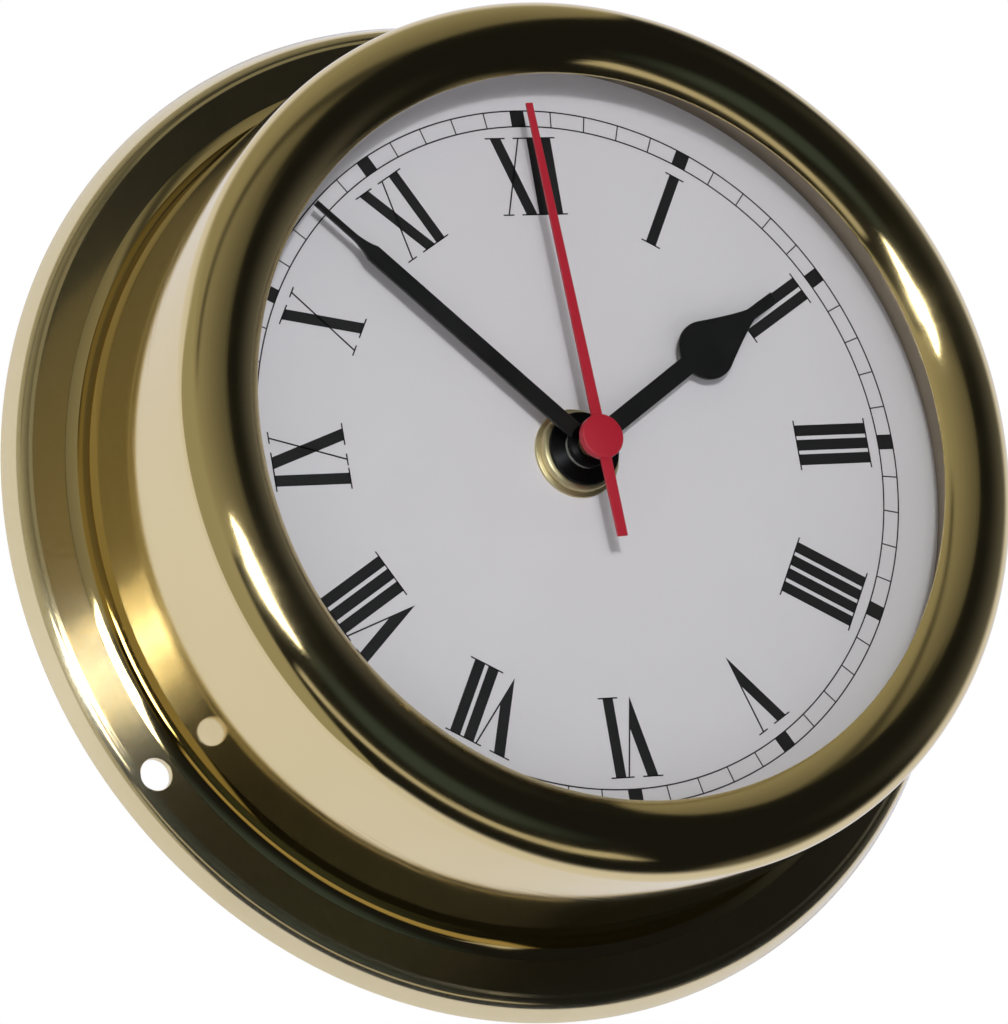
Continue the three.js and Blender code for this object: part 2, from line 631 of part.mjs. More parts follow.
function settingKnob() {
  const outline = [];
  const steps = KNOB_FLUTES * 2;
  for (let step = 0; step < steps; step += 1) {
    const angle = (2 * Math.PI * step) / steps;
    const radius = KNOB_RADIUS - KNOB_FLUTE_DEPTH * (0.5 + 0.5 * Math.cos(angle * KNOB_FLUTES));
    outline.push(new THREE.Vector2(radius * Math.cos(angle), radius * Math.sin(angle)));
  }
  const body = plate(new THREE.Shape(outline), BACK_SPACE, knobFront);
  return body.subtract(rod(SETTING_ARBOR_RADIUS + SEAT, arborSocket, knobFront + SEAT, HUB_SIDES));
}

add('setting_knob', settingKnob(), FINISH.blackPlastic, { place: settingAxis });

// Housing outline and the battery bay along its lower side
const bayLength = CELL_BODY_LENGTH + CELL_CAP_LENGTH + CONTACT_BOW + 2 * CONTACT_SHEET + 4 * SEAT;
const innerHalf = bayLength / 2;
const housingHalf = innerHalf + HOUSING_WALL;
const cellMiddle = new THREE.Vector2(0, -innerHalf + CELL_CLEARANCE + CELL_RADIUS);
const bayTop = cellMiddle.y + CELL_RADIUS + CELL_CLEARANCE;
const wallBack = coverFront + SEAT;

function roundedSquare(half, corner) {
  const shape = new THREE.Shape();
  shape.moveTo(half, half - corner);
  shape.absarc(half - corner, half - corner, corner, 0, Math.PI / 2);
  shape.absarc(corner - half, half - corner, corner, Math.PI / 2, Math.PI);
  shape.absarc(corner - half, corner - half, corner, Math.PI, Math.PI * 1.5);
  shape.absarc(half - corner, corner - half, corner, Math.PI * 1.5, Math.PI * 2);
  return shape;
}

// A boss with a blind pivot hole, standing on a plate face and open at its other end.
function boss(place, foot, end) {
  const outer = rod(bossRadius, Math.min(foot, end), Math.max(foot, end), ARBOR_SIDES);
  const depth = PIVOT_DEPTH + PLAY;
  const hole = end < foot
    ? rod(ARBOR_RADIUS + RUN, end - SEAT, end + depth, ARBOR_SIDES)
    : rod(ARBOR_RADIUS + RUN, end - depth, end + SEAT, ARBOR_SIDES);
  return at(outer.subtract(hole), place);
}

function frontCase() {
  const inside = roundedSquare(innerHalf, HOUSING_CORNER - HOUSING_WALL);
  let body = plate(roundedSquare(housingHalf, HOUSING_CORNER), wallBack, housingFront);
  body = body.subtract(plate(inside, wallBack - SEAT, plateBack));
  const plateMiddle = plateBack + FRONT_PLATE / 2;
  const wallMiddle = innerHalf + HOUSING_WALL / 2;
  body = body.add(box([-wallMiddle, bayTop, wallBack], [wallMiddle, bayTop + BAY_WALL, plateMiddle]));
  body = body.subtract(rod(BUSH_RADIUS + SEAT, coverFront, dialFace, HUB_SIDES));
  body = body.add(boss(thirdAxis, plateMiddle, thirdBossBack));
  body = body.add(boss(fifthAxis, plateMiddle, fifthBossBack));
  body = body.add(boss(rotorAxis, plateMiddle, rotorBossBack));
  body = body.add(boss(settingAxis, plateMiddle, settingBossBack));
  return body.add(at(rod(POST_RADIUS, postBack, plateMiddle, HUB_SIDES), minuteAxis));
}

function backCover() {
  const coverMiddle = coverBack + COVER_PLATE / 2;
  let body = plate(roundedSquare(housingHalf, HOUSING_CORNER), coverBack, coverFront);
  const bayMouth = box([-innerHalf, -innerHalf, coverBack - SEAT], [innerHalf, bayTop, coverFront + SEAT]);
  body = body.subtract(bayMouth);
  body = body.add(boss(thirdAxis, coverMiddle, coverBossFront));
  body = body.add(boss(fifthAxis, coverMiddle, coverBossFront));
  body = body.add(boss(rotorAxis, coverMiddle, coverBossFront));
  const secondBossRadius = SECOND_ARBOR_RADIUS + RUN + BOSS_WALL;
  const secondBoss = rod(secondBossRadius, coverMiddle, coverBossFront, ARBOR_SIDES);
  const secondHole = rod(SECOND_ARBOR_RADIUS + RUN, pivotBack - PLAY, coverBossFront + SEAT, ARBOR_SIDES);
  body = body.add(secondBoss.subtract(secondHole));
  const settingHole = rod(SETTING_ARBOR_RADIUS + RUN, coverBack - SEAT, coverFront + SEAT, HUB_SIDES);
  return body.subtract(at(settingHole, settingAxis));
}

add('movement_front_case', frontCase(), FINISH.blackPlastic);
add('movement_back_cover', backCover(), FINISH.blackPlastic);

// Motor: a stator round the rotor, and a coil on a core that bridges the stator's legs
const statorBack = pinionFront(SECOND_LEVEL) + PLAY;
const statorFront = statorBack + STATOR_SHEET;
const statorHole = MAGNET_RADIUS + ROTOR_GAP;
const coilHalf = COIL_LENGTH / 2;
const legOuter = coilHalf + STATOR_LEG;
const coreBack = statorFront + SEAT;
const coreMiddle = coreBack + CORE_SHEET / 2;
const yokeTop = statorHole + STATOR_RING / 2;
const bobbinRadius = COIL_RADIUS + BOBBIN_FLANGE;
const coilY = yokeTop + PLAY + bobbinRadius; // from the rotor axis up to the coil
const coreHole = Math.hypot(CORE_WIDTH, CORE_SHEET) / 2 + RUN;

function stator() {
  const yokeEnd = yokeTop - STATOR_LEG;
  const legTop = coilY + CORE_WIDTH;
  const cheek = statorHole + STATOR_RING;
  const shape = new THREE.Shape([
    [-legOuter, legTop], [-legOuter, yokeEnd], [-cheek, yokeEnd], [-statorHole, -cheek],
    [statorHole, -cheek], [cheek, yokeEnd], [legOuter, yokeEnd], [legOuter, legTop],
    [coilHalf, legTop], [coilHalf, yokeTop], [-coilHalf, yokeTop], [-coilHalf, legTop],
  ].map(([x, y]) => new THREE.Vector2(x, y)));
  return plate(shape, statorBack, statorFront)
    .subtract(rod(statorHole, statorBack - SEAT, statorFront + SEAT, HUB_SIDES));
}

// A profile of [radius, length] corners turned about the x axis, through the middle of the core.
function alongCoil(profile) {
  const corners = profile.map(([radius, length]) => new THREE.Vector2(radius, length));
  corners.push(corners[0].clone());
  const geometry = new THREE.LatheGeometry(corners, HUB_SIDES).rotateZ(-Math.PI / 2);
  return solid(geometry.translate(0, coilY, coreMiddle));
}

const bobbinBarrel = coreHole + BOBBIN_WALL;
const bobbinHalf = coilHalf - SEAT;
const cheekInside = bobbinHalf - BOBBIN_CHEEK;
const bobbin = alongCoil([
  [coreHole, -bobbinHalf], [bobbinRadius, -bobbinHalf], [bobbinRadius, -cheekInside],
  [bobbinBarrel, -cheekInside], [bobbinBarrel, cheekInside], [bobbinRadius, cheekInside],
  [bobbinRadius, bobbinHalf], [coreHole, bobbinHalf],
]);
const windingHalf = cheekInside - SEAT;
const winding = alongCoil([
  [bobbinBarrel + SEAT, -windingHalf], [COIL_RADIUS, -windingHalf],
  [COIL_RADIUS, windingHalf], [bobbinBarrel + SEAT, windingHalf],
]);
const core = box(
  [-legOuter, coilY - CORE_WIDTH / 2, coreBack],
  [legOuter, coilY + CORE_WIDTH / 2, coreBack + CORE_SHEET],
);
add('stator', stator(), FINISH.steel, { place: rotorAxis });
add('coil_core', core, FINISH.steel, { place: rotorAxis });
add('coil_bobbin', bobbin, FINISH.whitePlastic, { place: rotorAxis });
add('coil_winding', winding, FINISH.copper, { place: rotorAxis });

// Electronics: a board on the front plate, with its chip and the quartz crystal's can
const boardFront = plateBack - SEAT;
const boardBack = boardFront - BOARD_THICKNESS;
const boardMiddle = new THREE.Vector2(
  -innerHalf + BOARD_MARGIN + BOARD_WIDTH / 2,
  innerHalf - BOARD_MARGIN - BOARD_HEIGHT / 2,
);
const board = box(
  [-BOARD_WIDTH / 2, -BOARD_HEIGHT / 2, boardBack],
  [BOARD_WIDTH / 2, BOARD_HEIGHT / 2, boardFront],
);
const chipBack = boardBack - SEAT;
const chip = revolve([
  [0, chipBack],
  ...arc([0, chipBack], [CHIP_RADIUS, -CHIP_HEIGHT], 0, 90, 2).reverse(),
  [CHIP_RADIUS, chipBack],
], HUB_SIDES);
const can = new THREE.CylinderGeometry(CRYSTAL_RADIUS, CRYSTAL_RADIUS, CRYSTAL_LENGTH, ARBOR_SIDES);
can.rotateZ(Math.PI / 2);
can.translate(0, 0, boardBack - SEAT - CRYSTAL_RADIUS);
add('circuit_board', board, FINISH.board, { place: boardMiddle });
const chipPlace = new THREE.Vector2(boardMiddle.x, boardMiddle.y - CHIP_BELOW);
const crystalPlace = new THREE.Vector2(boardMiddle.x, boardMiddle.y + CRYSTAL_ABOVE);
add('chip', chip, FINISH.blackPlastic, { place: chipPlace });
add('crystal', solid(can), FINISH.steel, { place: crystalPlace });

// Cell in its bay, plus end to the right, between a flat contact and a bowed one
const cellHeight = plateBack - SEAT - CELL_RADIUS;
const plusFace = innerHalf - SEAT - CONTACT_SHEET;
const cellPlusEnd = plusFace - SEAT;
const cellShoulder = cellPlusEnd - CELL_CAP_LENGTH;
const cellMinusEnd = cellShoulder - CELL_BODY_LENGTH;
const minusBack = -innerHalf + SEAT;
const minusFace = minusBack + CONTACT_SHEET;

function cell() {
  const profile = [
    [0, cellMinusEnd],
    [CELL_RADIUS - CELL_CRIMP, cellMinusEnd],
    [CELL_RADIUS, cellMinusEnd + CELL_CRIMP],
    [CELL_RADIUS, cellShoulder - CELL_CRIMP],
    [CELL_RADIUS - CELL_CRIMP, cellShoulder],
    [CELL_CAP_RADIUS, cellShoulder],
    [CELL_CAP_RADIUS, cellPlusEnd],
    [0, cellPlusEnd],
  ].map(([radius, length]) => new THREE.Vector2(radius, length));
  profile.push(profile[0].clone());
  const geometry = new THREE.LatheGeometry(profile, HUB_SIDES).rotateZ(-Math.PI / 2);
  return solid(geometry.translate(0, 0, cellHeight));
}

function contactStrip(shape) {
  const geometry = new THREE.ExtrudeGeometry(shape, {
    depth: CONTACT_HEIGHT,
    bevelEnabled: false,
    curveSegments: 10,
  });
  return solid(geometry.translate(0, 0, cellHeight - CONTACT_HEIGHT / 2));
}

function plusContact() {
  const shape = new THREE.Shape();
  shape.moveTo(plusFace, -CONTACT_HALF_WIDTH);
  shape.lineTo(plusFace + CONTACT_SHEET, -CONTACT_HALF_WIDTH);
  shape.lineTo(plusFace + CONTACT_SHEET, CONTACT_HALF_WIDTH);
  shape.lineTo(plusFace, CONTACT_HALF_WIDTH);
  return contactStrip(shape);
}

function minusContact() {
  const shape = new THREE.Shape();
  shape.moveTo(minusBack, -CONTACT_HALF_WIDTH);
  shape.lineTo(minusFace, -CONTACT_HALF_WIDTH);
  shape.quadraticCurveTo(minusFace + 2 * CONTACT_BOW, 0, minusFace, CONTACT_HALF_WIDTH);
  shape.lineTo(minusBack, CONTACT_HALF_WIDTH);
  shape.quadraticCurveTo(minusBack + 2 * CONTACT_BOW, 0, minusBack, -CONTACT_HALF_WIDTH);
  return contactStrip(shape);
}

add('battery', cell(), FINISH.cell, { place: cellMiddle });
add('positive_contact', plusContact(), FINISH.steel, { place: cellMiddle });
add('negative_contact', minusContact(), FINISH.steel, { place: cellMiddle });

// Hands, drawn pointing to twelve and then turned to the time they show
function eye(radius, bore, back, front) {
  return ring(bore, radius, back, front, HUB_SIDES);
}

function hourHand() {
  const shoulder = THREE.MathUtils.degToRad(HOUR_BULB_SHOULDER);
  const bulb = hourLength - HOUR_BULB_BELOW_TIP;
  const neck = hourLength - HOUR_TIP_LENGTH;
  const stemEnd = bulb - Math.sqrt(HOUR_BULB_RADIUS ** 2 - HOUR_STEM_HALF ** 2);
  const stemAngle = Math.atan2(stemEnd - bulb, HOUR_STEM_HALF);
  const shoulderX = HOUR_BULB_RADIUS * Math.cos(shoulder);
  const shoulderY = bulb + HOUR_BULB_RADIUS * Math.sin(shoulder);
  const taper = new THREE.Vector2((shoulderX + HOUR_NECK_HALF) / 3, (shoulderY + 2 * neck) / 3);
  const shape = new THREE.Shape();
  shape.moveTo(-HOUR_STEM_HALF, 0);
  shape.lineTo(HOUR_STEM_HALF, 0);
  shape.lineTo(HOUR_STEM_HALF, stemEnd);
  shape.absarc(0, bulb, HOUR_BULB_RADIUS, stemAngle, shoulder);
  shape.quadraticCurveTo(taper.x, taper.y, HOUR_NECK_HALF, neck);
  shape.lineTo(HOUR_TIP_HALF, hourLength);
  shape.lineTo(-HOUR_TIP_HALF, hourLength);
  shape.lineTo(-HOUR_NECK_HALF, neck);
  shape.quadraticCurveTo(-taper.x, taper.y, -shoulderX, shoulderY);
  shape.absarc(0, bulb, HOUR_BULB_RADIUS, Math.PI - shoulder, Math.PI - stemAngle);
  shape.lineTo(-HOUR_STEM_HALF, stemEnd);
  const blade = plate(shape, hourFront - HAND_THICKNESS, hourFront, 6);
  const bore = hourTubeRadius + SEAT;
  return blade
    .subtract(rod(bore, hourEyeBack, hourFront + SEAT, HUB_SIDES))
    .add(eye(HOUR_EYE_RADIUS, bore, hourEyeBack, hourFront));
}

function minuteHand() {
  const tipStart = minuteLength - MINUTE_TIP_LENGTH;
  const shoulder = tipStart - MINUTE_SHOULDER_LENGTH;
  const hollow = MINUTE_TIP_HALF + (MINUTE_HALF - MINUTE_TIP_HALF) / 3;
  const half = [
    [MINUTE_HALF, 0],
    [MINUTE_HALF, shoulder],
    [hollow, (shoulder + tipStart) / 2],
    [MINUTE_TIP_HALF, tipStart],
    [MINUTE_TIP_HALF, minuteLength],
  ];
  const mirrored = half.map(([x, y]) => [-x, y]).reverse();
  const shape = new THREE.Shape([...half, ...mirrored].map(([x, y]) => new THREE.Vector2(x, y)));
  const bore = minuteTubeRadius + SEAT;
  return plate(shape, minuteFront - HAND_THICKNESS, minuteFront)
    .subtract(rod(bore, minuteEyeBack, minuteFront + SEAT, HUB_SIDES))
    .add(eye(MINUTE_EYE_RADIUS, bore, minuteEyeBack, minuteFront));
}

function secondHand() {
  const bladeBack = capBack + SECOND_BLADE_LIFT;
  const shape = new THREE.Shape([
    [-SECOND_HUB_HALF, -SECOND_TAIL], [SECOND_HUB_HALF, -SECOND_TAIL], [SECOND_HUB_HALF, 0],
    [SECOND_TIP_HALF, secondLength], [-SECOND_TIP_HALF, secondLength], [-SECOND_HUB_HALF, 0],
  ].map(([x, y]) => new THREE.Vector2(x, y)));
  const cap = revolve([
    [0, capBack],
    [SECOND_CAP_RADIUS, capBack],
    [SECOND_CAP_RADIUS, capFront - SECOND_CAP_ROUND],
    ...arc([SECOND_CAP_RADIUS - SECOND_CAP_ROUND, capFront - SECOND_CAP_ROUND],
      [SECOND_CAP_ROUND, SECOND_CAP_ROUND], 0, 90, 3),
    [0, capFront],
  ], HUB_SIDES);
  const socket = rod(SECOND_ARBOR_RADIUS + SEAT, capBack - SEAT, capFront - CAP_ROOF, ARBOR_SIDES);
  return plate(shape, bladeBack, bladeBack + HAND_THICKNESS).add(cap).subtract(socket);
}

add('hour_hand', hourHand(), FINISH.blackPaint, { clockwise: HOUR_ANGLE });
add('minute_hand', minuteHand(), FINISH.blackPaint, { clockwise: MINUTE_ANGLE });
add('second_hand', secondHand(), FINISH.redPaint, { clockwise: SECOND_ANGLE });

// Stand the clock up against the wall
clock.rotation.x = Math.PI / 2;

export default clock;
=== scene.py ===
"""Brass ships clock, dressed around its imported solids.

Pieces are drawn in millimetres in the clock's own frame: r and z are the radius from the dial's axis and
the height above the wall, or x and y lie on the dial with y to twelve o'clock. place() turns them into
the row frame, in metres, where the dial faces -Y and twelve o'clock is +Z.
"""
import math

import bmesh
import bpy
from mathutils import Matrix, Vector

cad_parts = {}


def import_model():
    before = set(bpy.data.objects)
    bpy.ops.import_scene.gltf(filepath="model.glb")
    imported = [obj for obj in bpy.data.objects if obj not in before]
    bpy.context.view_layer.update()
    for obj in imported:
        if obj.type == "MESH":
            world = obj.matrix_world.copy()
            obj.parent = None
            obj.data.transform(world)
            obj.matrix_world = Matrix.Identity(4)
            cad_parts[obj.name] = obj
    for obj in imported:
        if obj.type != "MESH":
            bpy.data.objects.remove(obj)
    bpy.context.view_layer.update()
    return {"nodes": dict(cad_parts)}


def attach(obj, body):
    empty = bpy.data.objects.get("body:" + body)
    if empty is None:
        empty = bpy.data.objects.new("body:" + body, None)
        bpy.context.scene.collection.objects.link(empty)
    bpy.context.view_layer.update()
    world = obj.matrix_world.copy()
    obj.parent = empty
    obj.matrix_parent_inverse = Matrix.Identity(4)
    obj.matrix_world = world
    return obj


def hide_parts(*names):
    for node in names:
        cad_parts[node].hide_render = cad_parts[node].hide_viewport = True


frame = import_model()

MM = 0.001
SIDES = 240  # facets round the case
HUB_SIDES = 72  # facets round the small turned pieces
DRILL_SIDES = 48
CREASE = 32.0  # degrees: edges that turn more than this stay sharp
CASE_CREASE = 28.0
SAME_POINT = 1e-7  # metres
ON_AXIS = 1e-6  # millimetres
MITRE_LIMIT = 0.35  # keeps an inset's sharp corners from running away

# Heights above the wall, in millimetres
FLANGE_FACE = 3.5
DIAL_FACE = 25.75
GLASS_BACK = 33.42
GLASS_FRONT = 34.52
LIP = 34.57
CROWN = 36.67
COVER_BACK = 8.6
KNOB_BACK = 5.35

# Radii, in millimetres
RIM_RADIUS = 63.5
FOOT_RADIUS = 56.6
DRUM_RADIUS = 54.5
DRUM_BORE = 53.5
CROWN_RADIUS = 49.4
SPACER_RADIUS = 48.8
GLASS_RADIUS = 50.0
SCREW_CIRCLE = 59.2
SCREW_HOLE = 2.0

SCREW_TURNS = (-1.2, 118.8, 238.8)  # clockwise from twelve o'clock


def place(x, y, z):
    return Vector((x * MM, -z * MM, y * MM))


def arc(middle, radii, start, end, steps):
    """Points on an ellipse from one angle to another, in degrees, both ends included."""
    points = []
    for step in range(steps + 1):
        angle = math.radians(start + (end - start) * step / steps)
        points.append((middle[0] + radii[0] * math.cos(angle), middle[1] + radii[1] * math.sin(angle)))
    return points


def tilted(start, first, last, radius, steps):
    """Points of an arc that leaves start outwards and downwards, while its normal leans from first to last.

    Both are in degrees from straight out of the dial.
    """
    a = math.radians(first)
    middle = (start[0] - radius * math.sin(a), start[1] - radius * math.cos(a))
    points = []
    for step in range(steps + 1):
        lean = math.radians(first + (last - first) * step / steps)
        points.append((middle[0] + radius * math.sin(lean), middle[1] + radius * math.cos(lean)))
    return points


# Meshes


def smooth(mesh, crease):
    """Shades a mesh smooth, with edges that turn by more than crease degrees kept sharp."""
    mesh.shade_smooth()
    mesh.set_sharp_from_angle(angle=math.radians(crease))


def new_piece(name, bm, crease=CREASE):
    """A smooth-shaded object from a bmesh, which is freed."""
    bmesh.ops.remove_doubles(bm, verts=bm.verts, dist=SAME_POINT)
    bmesh.ops.recalc_face_normals(bm, faces=bm.faces)
    mesh = bpy.data.meshes.new(name)
    bm.to_mesh(mesh)
    bm.free()
    smooth(mesh, crease)
    piece = bpy.data.objects.new(name, mesh)
    bpy.context.collection.objects.link(piece)
    return piece


def band(bm, low, high):
    """Adds the faces between two rings of vertices, where a ring may be one point many times over."""
    count = len(low)
    for k in range(count):
        corners = [low[k], low[(k + 1) % count], high[(k + 1) % count], high[k]]
        kept = list(dict.fromkeys(corners))
        if len(kept) > 2:
            bm.faces.new(kept)


def about(x, y):
    """An axis for turned(): out of the dial, through (x, y)."""
    return lambda r, h, a: place(x + r * math.cos(a), y + r * math.sin(a), h)


def turned(bm, profile, sides, closed=True, axis=about(0.0, 0.0)):
    """Adds a profile of (radius, height) points turned about an axis: the dial's, unless one is given."""
    rings = []
    for radius, height in profile:
        if radius < ON_AXIS:
            rings.append([bm.verts.new(axis(0.0, height, 0.0))] * sides)
            continue
        rings.append([bm.verts.new(axis(radius, height, 2 * math.pi * k / sides)) for k in range(sides)])
    following = rings[1:] + rings[:1] if closed else rings[1:]
    for low, high in zip(rings, following):
        band(bm, low, high)


def lathe(name, profile, sides=SIDES, closed=True, crease=CREASE):
    bm = bmesh.new()
    turned(bm, profile, sides, closed)
    return new_piece(name, bm, crease)


def slab(bm, outline, back, front, bevel=0.0):
    """Adds a flat piece with a counter-clockwise outline of (x, y), its front edge chamfered by bevel."""
    levels = [(outline, back), (outline, front - bevel)]
    if bevel:
        levels.append((inset(outline, bevel), front))
    rings = [[bm.verts.new(place(x, y, z)) for x, y in shape] for shape, z in levels]
    for low, high in zip(rings, rings[1:]):
        band(bm, low, high)
    bm.faces.new(list(reversed(rings[0])))
    bm.faces.new(rings[-1])


def inset(outline, distance):
    """The outline moved inwards by a distance, corner by corner."""
    points = [Vector(p) for p in outline]
    moved = []
    for i, here in enumerate(points):
        before = (here - points[i - 1]).normalized()
        after = (points[(i + 1) % len(points)] - here).normalized()
        normal = Vector((-before.y - after.y, before.x + after.x))
        normal.normalize()
        reach = distance / max(MITRE_LIMIT, normal.dot(Vector((-before.y, before.x))))
        moved.append(tuple(here + normal * reach))
    return moved


def spun(points, clockwise):
    """Points turned clockwise about the dial's centre, by degrees."""
    c, s = math.cos(math.radians(clockwise)), math.sin(math.radians(clockwise))
    return [(x * c + y * s, y * c - x * s) for x, y in points]


def cut(piece, cutters):
    """Cuts cutters out of a piece and removes them."""
    for cutter in cutters:
        modifier = piece.modifiers.new("cut", "BOOLEAN")
        modifier.operation = "DIFFERENCE"
        modifier.solver = "EXACT"
        modifier.object = cutter
    graph = bpy.context.evaluated_depsgraph_get()
    mesh = bpy.data.meshes.new_from_object(piece.evaluated_get(graph))
    piece.modifiers.clear()
    piece.data = mesh
    smooth(mesh, CREASE)
    for cutter in cutters:
        bpy.data.objects.remove(cutter)


# Materials

RINGS_PER_METRE = 2600.0  # fine turned rings, counted across them
RING_DRIFT = 2.5  # how much they change along one turn
RING_DEPTH = 0.00002  # metres
RING_RAMP = 0.2  # from bare metal to a full ring, in the noise's own scale
HAIRS_PER_METRE = 90000.0
HAIR_RAMP = 0.1  # likewise for the hairlines
HAIR_TONE = (0.9, 0.84, 0.64)
MARKS_PER_METRE = 160.0
BRASS_TONES_PER_METRE = 38.0
TONES_PER_METRE = 60.0
GLOSS_PER_METRE = 180.0
GRAIN_DEPTH = 0.00002  # metres
QUARTER_TURN = 0.25
BEZEL_BLEND = (-0.0348, -0.0332)  # along y in metres, from the bezel's finish to the drum's
CELL_RING = 0.0125  # metres along x, where the sleeve's pale ring starts
WHITE = (1.0, 1.0, 1.0, 1.0)
BLACK = (0.0, 0.0, 0.0, 1.0)


def node(tree, kind, **settings):
    made = tree.nodes.new(kind)
    for key, value in settings.items():
        setattr(made, key, value)
    return made


def put(made, values):
    """Sets inputs of a node by name."""
    for name, value in values.items():
        made.inputs[name].default_value = value


def link(tree, source, target):
    tree.links.new(source, target)


def empty_tree(owner):
    """The node tree of a new material or world, with nothing in it."""
    owner.use_nodes = True
    owner.node_tree.nodes.clear()
    return owner.node_tree


def material(name):
    made = bpy.data.materials.new(name)
    tree = empty_tree(made)
    output = node(tree, "ShaderNodeOutputMaterial")
    shader = node(tree, "ShaderNodeBsdfPrincipled")
    link(tree, shader.outputs["BSDF"], output.inputs["Surface"])
    return made, tree, shader


def math_node(tree, operation, *values):
    made = node(tree, "ShaderNodeMath", operation=operation)
    for socket, value in zip(made.inputs, values):
        if isinstance(value, (int, float)):
            socket.default_value = value
        else:
            link(tree, value, socket)
    return made.outputs[0]


def times(tree, first, second):
    return math_node(tree, "MULTIPLY", first, second)


def plus(tree, first, second):
    return math_node(tree, "ADD", first, second)


def minus(tree, first, second):
    return math_node(tree, "SUBTRACT", first, second)


def length(tree, first, second):
    """The length of a flat vector."""
    return math_node(tree, "SQRT", plus(tree, times(tree, first, first), times(tree, second, second)))


def parts(tree, vector):
    """A vector's x, y and z."""
    split = node(tree, "ShaderNodeSeparateXYZ")
    link(tree, vector, split.inputs[0])
    return split.outputs


def noise(tree, vector, scale, detail=3.0, roughness=0.55):
    made = node(tree, "ShaderNodeTexNoise")
    put(made, {"Scale": scale, "Detail": detail, "Roughness": roughness})
    link(tree, vector, made.inputs["Vector"])
    return made.outputs["Fac"]


def spread(tree, value, low, high, low_in=0.3, high_in=0.7, kind="LINEAR"):
    """A value mapped from low_in..high_in to low..high, and held at both ends."""
    made = node(tree, "ShaderNodeMapRange", interpolation_type=kind)
    put(made, {"From Min": low_in, "From Max": high_in, "To Min": low, "To Max": high})
    link(tree, value, made.inputs["Value"])
    return made.outputs["Result"]


def between(tree, factor, first, second):
    """A mix of two colours, each a tuple or another node's output."""
    made = node(tree, "ShaderNodeMix", data_type="RGBA")
    link(tree, factor, made.inputs["Factor"])
    for socket, value in ((made.inputs["A"], first), (made.inputs["B"], second)):
        if isinstance(value, tuple):
            socket.default_value = (*value, 1.0)
        else:
            link(tree, value, socket)
    return made.outputs["Result"]


def mixed(tree, factor, first, second, output):
    """Gives an output a mix of two shaders."""
    made = node(tree, "ShaderNodeMixShader")
    link(tree, factor, made.inputs["Fac"])
    link(tree, first.outputs[0], made.inputs[1])
    link(tree, second.outputs[0], made.inputs[2])
    link(tree, made.outputs[0], output.inputs["Surface"])


def bump(tree, shader, height, strength, distance):
    made = node(tree, "ShaderNodeBump")
    put(made, {"Strength": strength, "Distance": distance})
    link(tree, height, made.inputs["Height"])
    link(tree, made.outputs["Normal"], shader.inputs["Normal"])


def turned_lines(tree, across, along):
    """Coordinates in which noise runs in rings round the dial's axis, and the object's own.

    The rings are fine across and long along.
    """
    coordinate = node(tree, "ShaderNodeTexCoord").outputs["Object"]
    x, y, z = parts(tree, coordinate)
    join = node(tree, "ShaderNodeCombineXYZ")
    link(tree, times(tree, length(tree, x, z), across), join.inputs[0])
    link(tree, times(tree, y, across), join.inputs[1])
    turn = math_node(tree, "COSINE", math_node(tree, "ARCTAN2", z, x))
    link(tree, times(tree, turn, along), join.inputs[2])
    return join.outputs[0], coordinate


def brass(name, colour, dark, rough, anisotropy, lines, relief, bezel=None, hairs=None):
    """Turned brass: sparse fine rings, faint handling marks in its gloss and slight changes of tone.

    With bezel, a second (roughness, anisotropy), the bezel's rounding is finished across its rings. With
    hairs, (roughness, threshold), hairlines finer than the eye can part spread a lamp into a fan.
    """
    made, tree, shader = material(name)
    rings, flat = turned_lines(tree, RINGS_PER_METRE, RING_DRIFT)
    put(shader, {"Metallic": 1.0, "Anisotropic": anisotropy, "Anisotropic Rotation": QUARTER_TURN})
    tangent = node(tree, "ShaderNodeTangent", direction_type="RADIAL", axis="Y")
    link(tree, tangent.outputs[0], shader.inputs["Tangent"])
    clouds = spread(tree, noise(tree, flat, BRASS_TONES_PER_METRE, 4.0), 0.0, 1.0)
    tone = between(tree, clouds, colour, dark)
    marks = spread(tree, noise(tree, flat, MARKS_PER_METRE, 5.0, 0.65), 0.85, 1.25)
    if bezel:
        height = parts(tree, flat)[1]
        gloss = times(tree, marks, spread(tree, height, bezel[0], rough, *BEZEL_BLEND))
        link(tree, spread(tree, height, bezel[1], anisotropy, *BEZEL_BLEND), shader.inputs["Anisotropic"])
    else:
        gloss = times(tree, marks, rough)
    if hairs:
        haze, threshold = hairs
        fibres = noise(tree, flat, HAIRS_PER_METRE, 1.0)
        hairlines = spread(tree, fibres, 0.0, 1.0, threshold, threshold + HAIR_RAMP)
        gloss = plus(tree, gloss, times(tree, hairlines, haze))
        tone = between(tree, hairlines, tone, HAIR_TONE)
    link(tree, gloss, shader.inputs["Roughness"])
    link(tree, tone, shader.inputs["Base Color"])
    fine = spread(tree, noise(tree, rings, 1.0, 2.0), 0.0, 1.0, 1.0 - lines, 1.0 + RING_RAMP - lines)
    bump(tree, shader, fine, relief, RING_DEPTH)
    return made


def plain(name, colour, second, rough, metallic=0.0, grain=900.0, relief=0.15):
    """A material with a fine grain, a slight change of tone and uneven gloss."""
    made, tree, shader = material(name)
    coordinate = node(tree, "ShaderNodeTexCoord").outputs["Object"]
    put(shader, {"Metallic": metallic})
    tone = noise(tree, coordinate, TONES_PER_METRE, 4.0)
    link(tree, between(tree, spread(tree, tone, 0.0, 1.0), colour, second), shader.inputs["Base Color"])
    gloss = noise(tree, coordinate, GLOSS_PER_METRE, 3.0)
    link(tree, spread(tree, gloss, rough * 0.85, rough * 1.15), shader.inputs["Roughness"])
    bump(tree, shader, noise(tree, coordinate, grain, 3.0), relief, GRAIN_DEPTH)
    return made


